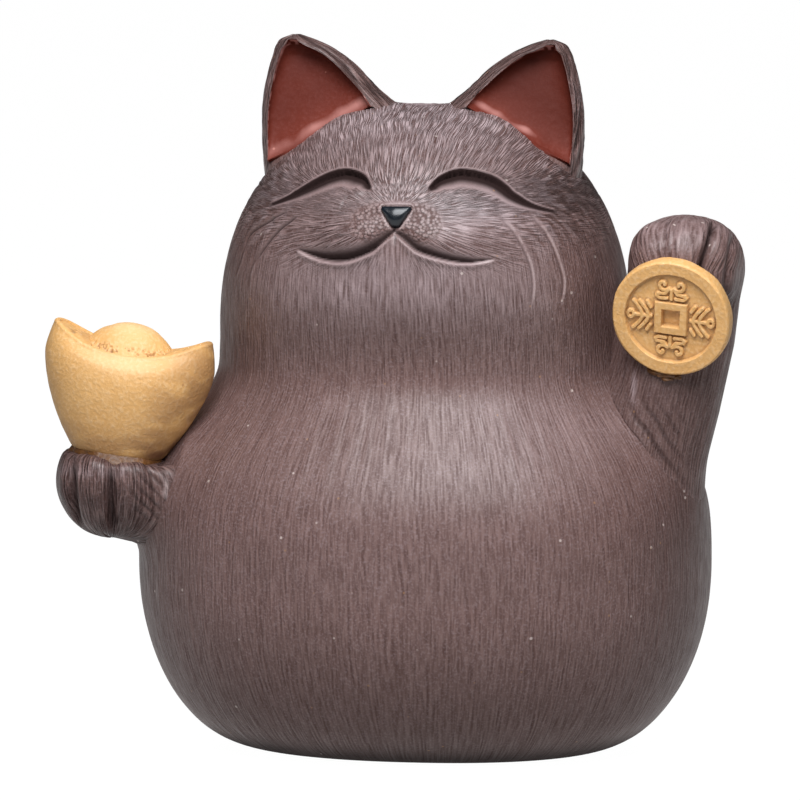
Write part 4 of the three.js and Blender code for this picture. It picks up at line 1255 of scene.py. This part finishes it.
def make_coin_slip(axes, centre, material):
    """Crumbs of slip under the coin's lower edge."""
    low = np.array([-0.9, 0.1, -COIN_RADIUS * 1.04])
    crumbs = []
    for i, (x, y, z, size) in enumerate(CRUMBS):
        bpy.ops.object.select_all(action="DESELECT")
        bpy.ops.mesh.primitive_ico_sphere_add(subdivisions=4, radius=1)
        crumb = bpy.context.active_object
        co = np.array([vertex.co for vertex in crumb.data.vertices])
        lumps = 1 + 0.3 * noise(co * 1.4 + 7 * i, 91) + 0.12 * noise(co * 3.6, 92)
        co = co * lumps[:, None] * np.array(CRUMB_HALF) * size
        co = to_place(co + low + np.array([x, y, z]), axes, centre) * MM
        crumb.data.vertices.foreach_set("co", co.astype(np.float32).ravel())
        crumb.data.update()
        crumbs.append(crumb)
    select_only(crumbs[0])
    for crumb in crumbs:
        crumb.select_set(True)
    bpy.ops.object.join()
    slip = bpy.context.active_object
    slip.name = "coin_slip_crumbs"
    bpy.ops.object.shade_smooth()
    finish_piece(slip, material, "coin_slip")


# Nose: a glazed bead shaped as an upside-down triangle

NOSE_LEAN = math.radians(-6)


def make_nose(material):
    turn = np.linspace(0, 2 * math.pi, 161)
    outline = nose_radius(turn)
    rows = []
    for part in np.sin(np.linspace(0, math.pi / 2, 40))[::-1][:-1]:
        radius = (outline * part ** 2.5 + 1.4 * (1 - part ** 2.5)) * part
        bulge = 0.95 * (1 - part ** 2) ** 0.5
        sunk = 0.5 * (1 - part ** 2)
        rows.append(np.stack([radius * np.cos(turn), 0 * turn - bulge, radius * np.sin(turn) - sunk], -1))
    deep = np.array([0, 0.9, 0])
    bead = capped(np.array([rows[0] + deep] + rows), deep, -deep)
    low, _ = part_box("nose")
    seat = np.array([NOSE[0], low[1] / MM + 1.05, NOSE[1]])
    finish_piece(wrapped_grid("nose_bead", to_place(bead, turned_axes(0, NOSE_LEAN), seat)), material, "nose")


# Tail and base

def make_tail(material):
    path = []
    for turn, height, proud in TAIL:
        point = body_points(np.array([math.radians(turn)]), np.array([height]))[0]
        path.append(point + unit(point * np.array([1, 1, 0])) * proud)
    rows, columns = 150, 121
    curve = smooth_path(path, rows)
    ahead = unit(np.gradient(curve, axis=0))
    aside = unit(np.cross(ahead, unit(curve * np.array([1, 1, 0]))))
    out = np.cross(aside, ahead)
    share = np.linspace(0, 1, rows)
    size = TAIL_HALF * (1 - 0.3 * share) * np.sqrt(np.clip(1 - ramp(share, 0.86, 1.0) ** 2, 0.002, 1))
    turn = np.linspace(0, 2 * math.pi, columns)
    ring = aside[:, None] * np.cos(turn)[:, None] + out[:, None] * np.sin(turn)[:, None]
    way = np.broadcast_to((share * TAIL_LENGTH)[:, None], (rows, columns))
    hair, flow = limb_hair(turn, way, 15, TAIL_HAIR_RADIUS)
    points = curve[:, None] + ring * (size[:, None] + 0.05 * hair)[..., None]
    points = points + ring * fillet(body_field(points), 2.0)[..., None]
    finish_piece(wrapped_grid("tail_skin", capped(points), dict(hair=hair), flow), material, "tail")


def make_base(material):
    """The slab that closes the body from below, a ring of clay round the vent hole."""
    turn = np.linspace(0, 2 * math.pi, 181)
    outer = body_points(turn, 0 * turn) * 0.895
    hole = np.stack([VENT_RADIUS * np.cos(turn), VENT_BACK + VENT_RADIUS * np.sin(turn), 0 * turn], -1)
    profile = [(0, SLAB_THICKNESS), (0, 0.9), (0.012, 0.5), (0.04, 0.3)]
    profile += [(share, 0.3 + 0.25 * math.sin(math.pi * share)) for share in np.linspace(0.08, 0.94, 44)]
    profile += [(0.985, 0.42), (1, 0.75), (1, SLAB_THICKNESS), (0, SLAB_THICKNESS)]
    points = np.array([drawn_in(outer * (1 - share) + hole * share, 1, height) for share, height in profile])
    under = points[4:-4]
    under[..., 2] += 0.06 * noise(under / 1.2, 95) + 0.03 * noise(under / 0.5, 96)
    bare = np.ones(points.shape[:2])
    # Painted shade: the underside darker, with no strokes
    slab = wrapped_grid("base_slab_clay", points, dict(bare=bare, painted_light_and_wear=-0.2 * bare), added=(0, 0))
    finish_piece(slab, material, "base_slab")


# Materials

def new_material(name):
    material = bpy.data.materials.new(name)
    material.use_nodes = True
    tree = material.node_tree
    shader = tree.nodes["Principled BSDF"]
    return material, tree, shader


def colour(red, green, blue):
    """A colour as it is read from a screen, 0 to 255, turned into the linear values that shaders take."""
    def linear(value):
        value /= 255
        return value / 12.92 if value <= 0.04045 else ((value + 0.055) / 1.055) ** 2.4
    return (linear(red), linear(green), linear(blue), 1.0)


def add_node(tree, kind, values=None, **settings):
    """A node with its settings and its sockets' values; a value that is a socket is linked."""
    node = tree.nodes.new("ShaderNode" + kind)
    for key, value in settings.items():
        setattr(node, key, value)
    for key, value in (values or {}).items():
        if isinstance(value, bpy.types.NodeSocket):
            tree.links.new(value, node.inputs[key])
        else:
            node.inputs[key].default_value = value
    return node


def mixed_colour(tree, factor, first, second):
    mix = add_node(tree, "Mix", {"Factor": factor, "A": first, "B": second}, data_type="RGBA")
    return mix.outputs["Result"]


def blend(tree, factor, first, second):
    mix = add_node(tree, "Mix", {"Factor": factor, "A": first, "B": second}, data_type="FLOAT")
    return mix.outputs["Result"]


def calculated(tree, operation, first, second=0.0, third=0.0):
    return add_node(tree, "Math", {0: first, 1: second, 2: third}, operation=operation).outputs["Value"]


def product(tree, first, second):
    return calculated(tree, "MULTIPLY", first, second)


def above_zero(tree, value):
    return calculated(tree, "MAXIMUM", value, 0.0)


def below_zero(tree, value):
    """How far a value is below 0."""
    return above_zero(tree, product(tree, value, -1.0))


def mapped(tree, value, low, high, start=0.0, end=1.0, **settings):
    """Turns the span from low to high into start to end."""
    values = {"Value": value, "From Min": low, "From Max": high, "To Min": start, "To Max": end}
    return add_node(tree, "MapRange", values, **settings).outputs["Result"]


def stretched(tree, vector, across, along):
    """A vector with its parts across and along multiplied."""
    scaled = add_node(tree, "VectorMath", {0: vector, 1: (across, along, 1)}, operation="MULTIPLY")
    return scaled.outputs["Vector"]


def flat_noise(tree, vector, across, along, detail):
    """Noise in two dimensions, drawn out by different amounts across and along."""
    values = {"Vector": stretched(tree, vector, across, along), "Scale": 1.0, "Detail": detail}
    return add_node(tree, "TexNoise", values, noise_dimensions="2D").outputs["Fac"]


def split(tree, vector):
    return add_node(tree, "SeparateXYZ", {0: vector}).outputs


def attribute(tree, label):
    return add_node(tree, "Attribute", attribute_name=label).outputs["Fac"]


def stroke_lines(tree, vector, across, along, low=0.3, high=0.7):
    """Cut lines: 1 on the ridges and 0 in the cuts, for a vector of millimetres across and along."""
    lines = flat_noise(tree, vector, 1 / across, 1 / along, 1.0)
    return mapped(tree, lines, low, high, interpolation_type="SMOOTHSTEP")


def fan_lines(tree):
    """Cut lines that fan out from the nose, and how much they count: the fan attribute holds the turn
    about the nose, the distance from it and that share. Each layer suits one span of distances."""
    turn, distance, share = split(tree, add_node(tree, "Attribute", attribute_name="fan").outputs["Vector"])
    total = 0.0
    for reach_mm in (3.5, 7.0, 14.0, 28.0):
        flat = add_node(tree, "CombineXYZ", {0: product(tree, turn, reach_mm), 1: distance})
        lines = stroke_lines(tree, flat.outputs["Vector"], 0.155, 2.4, 0.32, 0.68)
        octave = calculated(tree, "LOGARITHM", calculated(tree, "DIVIDE", distance, reach_mm), 2.0)
        weight = calculated(tree, "SUBTRACT", 1.0, calculated(tree, "ABSOLUTE", octave))
        total = calculated(tree, "ADD", total, product(tree, lines, above_zero(tree, weight)))
    return total, share


def comb_lines(tree, vector):
    """Evenly spaced comb lines that drift sideways and fade in and out."""
    sway = flat_noise(tree, vector, 0.35, 0.07, 2.0)
    across = product(tree, split(tree, vector)[0], 11.4)
    turns = calculated(tree, "MULTIPLY_ADD", sway, 24.0, across)
    wave = calculated(tree, "MULTIPLY_ADD", calculated(tree, "SINE", turns), 0.5, 0.5)
    strength = mapped(tree, flat_noise(tree, vector, 0.9, 0.34, 1.0), 0.35, 0.65)
    return blend(tree, strength, 0.5, wave)


# Effects that several clays share, each a node group that every clay places with its own values

def new_group(name, given, results):
    """A group's tree, the sockets that bring its inputs, and the sockets that take its results."""
    group = bpy.data.node_groups.new(name, "ShaderNodeTree")
    for in_out, sockets in (("INPUT", given), ("OUTPUT", results)):
        for label, kind in sockets.items():
            group.interface.new_socket(name=label, in_out=in_out, socket_type="NodeSocket" + kind)
    return group, group.nodes.new("NodeGroupInput").outputs, group.nodes.new("NodeGroupOutput").inputs


def placed(tree, group, **values):
    """Puts a group into a material, with underscores for the spaces in its sockets' names."""
    values = {label.replace("_", " "): value for label, value in values.items()}
    return add_node(tree, "Group", values, node_tree=group).outputs


def speck_group():
    """Sparse round specks: 1 inside a speck and 0 elsewhere, fewer where the limit is higher."""
    given = {"Vector": "Vector", "Scale": "Float", "Limit": "Float"}
    group, given, results = new_group("clay_specks", given, {"Specks": "Float"})
    values = {"Vector": given["Vector"], "Scale": given["Scale"], "Randomness": 1.0}
    cells = add_node(group, "TexVoronoi", values)
    near = mapped(group, cells.outputs["Distance"], 0.12, 0.2, 1.0, 0.0)
    chosen = calculated(group, "GREATER_THAN", split(group, cells.outputs["Color"])[0], given["Limit"])
    group.links.new(product(group, near, chosen), results["Specks"])
    return group


def grain_group():
    """Grain of the fired clay, and where it stands out: 0 below low and most above high."""
    given = {label: "Float" for label in ("Scale", "Detail", "Low", "High", "Most")}
    given["Vector"] = "Vector"
    group, given, results = new_group("clay_grain", given, {"Grain": "Float", "Share": "Float"})
    values = {label: given[label] for label in ("Vector", "Scale", "Detail")}
    grain = add_node(group, "TexNoise", values).outputs["Fac"]
    group.links.new(grain, results["Grain"])
    group.links.new(mapped(group, grain, given["Low"], given["High"], 0.0, given["Most"]), results["Share"])
    return group


def painted_light_group():
    """Darkens the tone where the shade is above 0 (painted shade, and on the ingot stains too) and pales it
    where it is below 0 (painted highlights, and worn edges in the ear linings).
    """
    given = {"Tone": "Color", "Shade": "Float", "Depth": "Float", "Hollow": "Color", "Worn": "Color"}
    group, given, results = new_group("clay_painted_light", given, {"Tone": "Color", "Dark": "Float"})
    dark = above_zero(group, given["Shade"])
    tone = mixed_colour(group, product(group, dark, given["Depth"]), given["Tone"], given["Hollow"])
    tone = mixed_colour(group, below_zero(group, given["Shade"]), tone, given["Worn"])
    group.links.new(tone, results["Tone"])
    group.links.new(dark, results["Dark"])
    return group


def add_bump(tree, shader, height, distance):
    bump = add_node(tree, "Bump", {"Strength": 1.0, "Distance": distance, "Height": height})
    tree.links.new(bump.outputs["Normal"], shader.inputs["Normal"])


def clay_material(specks, graining, shade_painter):
    """Brown clay combed with a toothed tool, its tone carrying painted highlights and painted shade."""
    material, tree, shader = new_material("combed_brown_clay")
    hair, shade, bare, pebbled, painted_light_and_wear, deep = (
        attribute(tree, label) for label in ("hair", "shade", "bare", "pebbled", "painted_light_and_wear", "deep"))
    place = add_node(tree, "TexCoord").outputs
    solid = place["Object"]
    short_lines = stroke_lines(tree, place["UV"], 0.25, 2.4)
    long_lines = stroke_lines(tree, place["UV"], 0.34, 9.0)
    straight = blend(tree, 0.35, short_lines, long_lines)
    straight = blend(tree, 0.4, straight, comb_lines(tree, place["UV"]))
    fan, fan_share = fan_lines(tree)
    lines = mapped(tree, blend(tree, fan_share, straight, fan), 0.1, 0.85)
    broad = mapped(tree, hair, -1.6, 1.6)
    height = calculated(tree, "MULTIPLY_ADD", lines, 0.8, product(tree, broad, 0.2))
    height = blend(tree, bare, height, 0.7)
    cells = add_node(tree, "TexVoronoi", {"Vector": solid, "Scale": 2250.0, "Randomness": 0.9})
    pebbles = mapped(tree, cells.outputs["Distance"], 0.3, 0.66, 1.0, 0.0)
    pebbles = calculated(tree, "MULTIPLY_ADD", pebbles, 0.7, 0.08)
    contrast = calculated(tree, "MULTIPLY_ADD", deep, 0.3, 0.8)
    spread = calculated(tree, "MULTIPLY_ADD", contrast, calculated(tree, "SUBTRACT", height, 0.5), 0.5)
    height = blend(tree, pebbled, spread, pebbles)

    # Darker in the cut lines and paler on the ridges: partly the clay, partly painted shade and painted
    # highlight
    tone = mixed_colour(tree, height, colour(75, 52, 48), colour(123, 96, 91))
    # Painted glints: fine paler grain that stands for sparkle in the light
    fine = placed(tree, graining, Vector=solid, Scale=3600.0, Detail=2.0, Low=0.48, High=0.72, Most=0.34)
    tone = mixed_colour(tree, fine["Share"], tone, colour(156, 138, 140))
    # Painted sheen: paler ridges where the painted light is above 0
    painted_sheen = product(tree, product(tree, above_zero(tree, painted_light_and_wear), height), 1.3)
    tone = mixed_colour(tree, painted_sheen, tone, colour(182, 163, 165))
    # Painted shade: darker where the painted light is below 0, and no coat there
    painted_shade = below_zero(tree, painted_light_and_wear)
    tone = mixed_colour(tree, painted_shade, tone, colour(45, 30, 26))
    drift = placed(tree, graining, Vector=solid, Scale=160.0, Detail=2.0, Low=0.3, High=0.7, Most=0.25)
    tone = mixed_colour(tree, drift["Share"], tone, colour(84, 62, 57))
    # Painted shade in cuts and grooves, and painted highlights on lips, whiskers and edges
    painted_result = placed(tree, shade_painter, Tone=tone, Shade=shade, Depth=1.0, Hollow=colour(38, 26, 25),
                     Worn=colour(190, 172, 170))
    tone, dark = painted_result["Tone"], painted_result["Dark"]
    pale_specks = (900.0, 0.975, 0.6, (206, 190, 182))
    gold_specks = (1100.0, 0.98, 0.45, (160, 120, 84))
    for scale, limit, share, speck_colour in (pale_specks, gold_specks):
        seen = placed(tree, specks, Vector=solid, Scale=scale, Limit=limit)["Specks"]
        tone = mixed_colour(tree, product(tree, seen, share), tone, colour(*speck_colour))
    tree.links.new(tone, shader.inputs["Base Color"])

    scale = calculated(tree, "MULTIPLY_ADD", calculated(tree, "MAXIMUM", deep, pebbled), 1.2, 1.0)
    total = calculated(tree, "MULTIPLY_ADD", height, scale, product(tree, fine["Grain"], 0.7))
    add_bump(tree, shader, total, 0.0001)
    rough = mapped(tree, height, 0.0, 1.0, 0.75, 0.42)
    tree.links.new(blend(tree, dark, rough, 1.0), shader.inputs["Roughness"])
    shader.inputs["Specular IOR Level"].default_value = 0.1
    sheen = blend(tree, painted_shade, calculated(tree, "MULTIPLY_ADD", height, 0.75, 0.1), 0.0)
    tree.links.new(blend(tree, dark, sheen, 0.0), shader.inputs["Coat Weight"])
    shader.inputs["Coat Roughness"].default_value = 0.42
    return material


def grained_material(name, groups, base, dark, light, hollow, speck, rough,
                     mottled=0.3, gloss=0.5, grain=0.00007):
    """Fired clay without strokes: soft patches, fine grain, a few specks, and painted shade and highlights
    from the shade attribute. Colours as on a screen.
    """
    specks, graining, shade_painter = groups
    material, tree, shader = new_material(name)
    place = add_node(tree, "TexCoord").outputs["Object"]
    patches = placed(tree, graining, Vector=place, Scale=230.0, Detail=3.0)["Grain"]
    tone = mixed_colour(tree, patches, colour(*dark), colour(*base))
    fine = placed(tree, graining, Vector=place, Scale=2400.0, Detail=2.0, Low=0.45, High=0.75, Most=mottled)
    tone = mixed_colour(tree, fine["Share"], tone, colour(*light))
    spots = placed(tree, specks, Vector=place, Scale=1000.0, Limit=0.97)["Specks"]
    tone = mixed_colour(tree, product(tree, spots, 0.55), tone, colour(*speck))
    # Painted shade in the hollow colour where the shade is above 0, painted highlights in the light colour
    # below 0
    painted_result = placed(tree, shade_painter, Tone=tone, Shade=attribute(tree, "shade"), Depth=0.8,
                     Hollow=colour(*hollow), Worn=colour(*light))
    tree.links.new(painted_result["Tone"], shader.inputs["Base Color"])
    add_bump(tree, shader, fine["Grain"], grain)
    shader.inputs["Roughness"].default_value = rough
    shader.inputs["Specular IOR Level"].default_value = gloss
    return material


def glaze_material():
    """Black glaze with faint clouds."""
    material, tree, shader = new_material("black_glaze")
    place = add_node(tree, "TexCoord").outputs["Object"]
    cloud = add_node(tree, "TexNoise", {"Vector": place, "Scale": 900.0}).outputs["Fac"]
    tone = mixed_colour(tree, cloud, colour(11, 14, 19), colour(20, 27, 34))
    tree.links.new(tone, shader.inputs["Base Color"])
    shader.inputs["Roughness"].default_value = 0.24
    return material


# Stage, camera and light

FLOOR_SIZE = 6
FLOOR_WHITE = 1.105
FLOOR_WHITE_SHARE = 0.9
WORLD_WHITE = 1.06
WORLD_STRENGTH = 0.08
LAMP_TINT = (0.95, 0.97, 1.0)


def seen_by(tree, *kinds):
    """1 for camera rays and for rays of these kinds, and 0 for others."""
    rays = add_node(tree, "LightPath").outputs
    seen = rays["Is Camera Ray"]
    for kind in kinds:
        seen = calculated(tree, "MAXIMUM", seen, rays[f"Is {kind} Ray"])
    return seen


def mix_surface(tree, share, first, second, end):
    """Sends a mix of two shaders to the end of the tree."""
    mix = add_node(tree, "MixShader", {"Fac": share, 1: first, 2: second})
    tree.links.new(mix.outputs["Shader"], tree.nodes[end].inputs["Surface"])


def make_stage():
    """A floor that is white to the camera and keeps a faint shadow."""
    bpy.ops.object.select_all(action="DESELECT")
    bpy.ops.mesh.primitive_plane_add(size=FLOOR_SIZE)
    floor = bpy.context.active_object
    floor.name = "floor"
    material, tree, shader = new_material("pale_floor")
    shader.inputs["Base Color"].default_value = (0.4, 0.4, 0.4, 1)
    shader.inputs["Roughness"].default_value = 0.9
    floor.data.materials.append(material)
    share = product(tree, seen_by(tree, "Glossy", "Transmission"), FLOOR_WHITE_SHARE)
    white = add_node(tree, "Emission", {"Strength": FLOOR_WHITE})
    mix_surface(tree, share, shader.outputs["BSDF"], white.outputs["Emission"], "Material Output")


def make_world():
    """Faint light from all round, seen as plain white."""
    world = bpy.data.worlds.new("studio")
    world.use_nodes = True
    bpy.context.scene.world = world
    tree = world.node_tree
    light = tree.nodes["Background"]
    light.inputs["Color"].default_value = (0.9, 0.93, 1.0, 1)
    light.inputs["Strength"].default_value = WORLD_STRENGTH
    shown = add_node(tree, "Background", {"Color": (1, 1, 1, 1), "Strength": WORLD_WHITE})
    seen = seen_by(tree, "Transmission")
    mix_surface(tree, seen, light.outputs["Background"], shown.outputs["Background"], "World Output")


def make_lamp(name, place, aim_height, size, power):
    """A soft lamp aimed at a height on the figure's axis."""
    lamp = bpy.data.lights.new(name, "AREA")
    lamp.shape = "RECTANGLE"
    lamp.size, lamp.size_y = size
    lamp.energy = power
    lamp.color = LAMP_TINT
    obj = bpy.data.objects.new(name, lamp)
    bpy.context.scene.collection.objects.link(obj)
    obj.location = place
    aim = Vector((0, 0, aim_height)) - Vector(place)
    obj.rotation_euler = aim.to_track_quat("-Z", "Y").to_euler()
    return obj


def make_lights():
    make_lamp("top_softbox", (0.04, -0.17, 0.48), 0.045, (0.28, 0.22), 1.25)
    behind = make_lamp("back_softbox", (-0.107, 0.69, 0.12), 0.045, (0.24, 0.14), 0.45)
    # Seen flat along the clay, this lamp would flare on every rim
    behind.data.spread = math.radians(50)
    behind.visible_glossy = False
    make_lamp("front_softbox", (0.025, -0.2, 0.25), 0.05, (0.24, 0.14), 1.1)


def make_camera():
    turn, rise = CAMERA_TURN, CAMERA_RISE
    aside = Vector((math.cos(turn), math.sin(turn), 0))
    back = Vector((math.sin(turn) * math.cos(rise), -math.cos(turn) * math.cos(rise), math.sin(rise)))
    target = aside * TARGET_ASIDE + Vector((0, 0, TARGET_HEIGHT))
    camera = bpy.data.cameras.new("camera")
    camera.sensor_width = SENSOR_WIDTH
    camera.lens = SENSOR_WIDTH * CAMERA_DISTANCE / VIEW_WIDTH
    camera.clip_start = 0.05
    camera.clip_end = 20
    obj = bpy.data.objects.new("camera", camera)
    bpy.context.scene.collection.objects.link(obj)
    obj.location = (target + back * CAMERA_DISTANCE) * MM
    obj.rotation_euler = back.to_track_quat("Z", "Y").to_euler()
    bpy.context.scene.camera = obj


make_camera()
make_stage()
make_world()
make_lights()
bpy.context.scene.view_settings.view_transform = "Standard"

groups = (speck_group(), grain_group(), painted_light_group())
clay = clay_material(*groups)
# The hollow colours are painted shade; the light colours serve both for grain and for painted highlights
red_clay = grained_material(
    "red_clay", groups, base=(104, 43, 31), dark=(90, 36, 27), light=(204, 146, 138), hollow=(70, 25, 16),
    speck=(176, 120, 104), rough=0.6, mottled=0.04, gloss=0.1, grain=0.00004)
yellow_clay = grained_material(
    "yellow_clay", groups, base=(222, 172, 106), dark=(203, 150, 84), light=(236, 202, 156),
    hollow=(132, 88, 52), speck=(170, 118, 74), rough=0.62, mottled=0.4, gloss=0.7, grain=0.00009)
slip_clay = grained_material(
    "slip_clay", groups, base=(104, 64, 24), dark=(76, 46, 19), light=(146, 98, 46), hollow=(76, 50, 33),
    speck=(110, 78, 52), rough=0.5)
black_glaze = glaze_material()

make_torso(clay)
make_head(clay)
make_ear(-1, clay, red_clay, "right_ear")
make_ear(1, clay, red_clay, "left_ear")
make_nose(black_glaze)
make_raised_arm(clay)
make_holding_arm(clay)
make_tail(clay)
make_ingot(yellow_clay, slip_clay)
make_coin(yellow_clay, slip_clay)
make_base(clay)
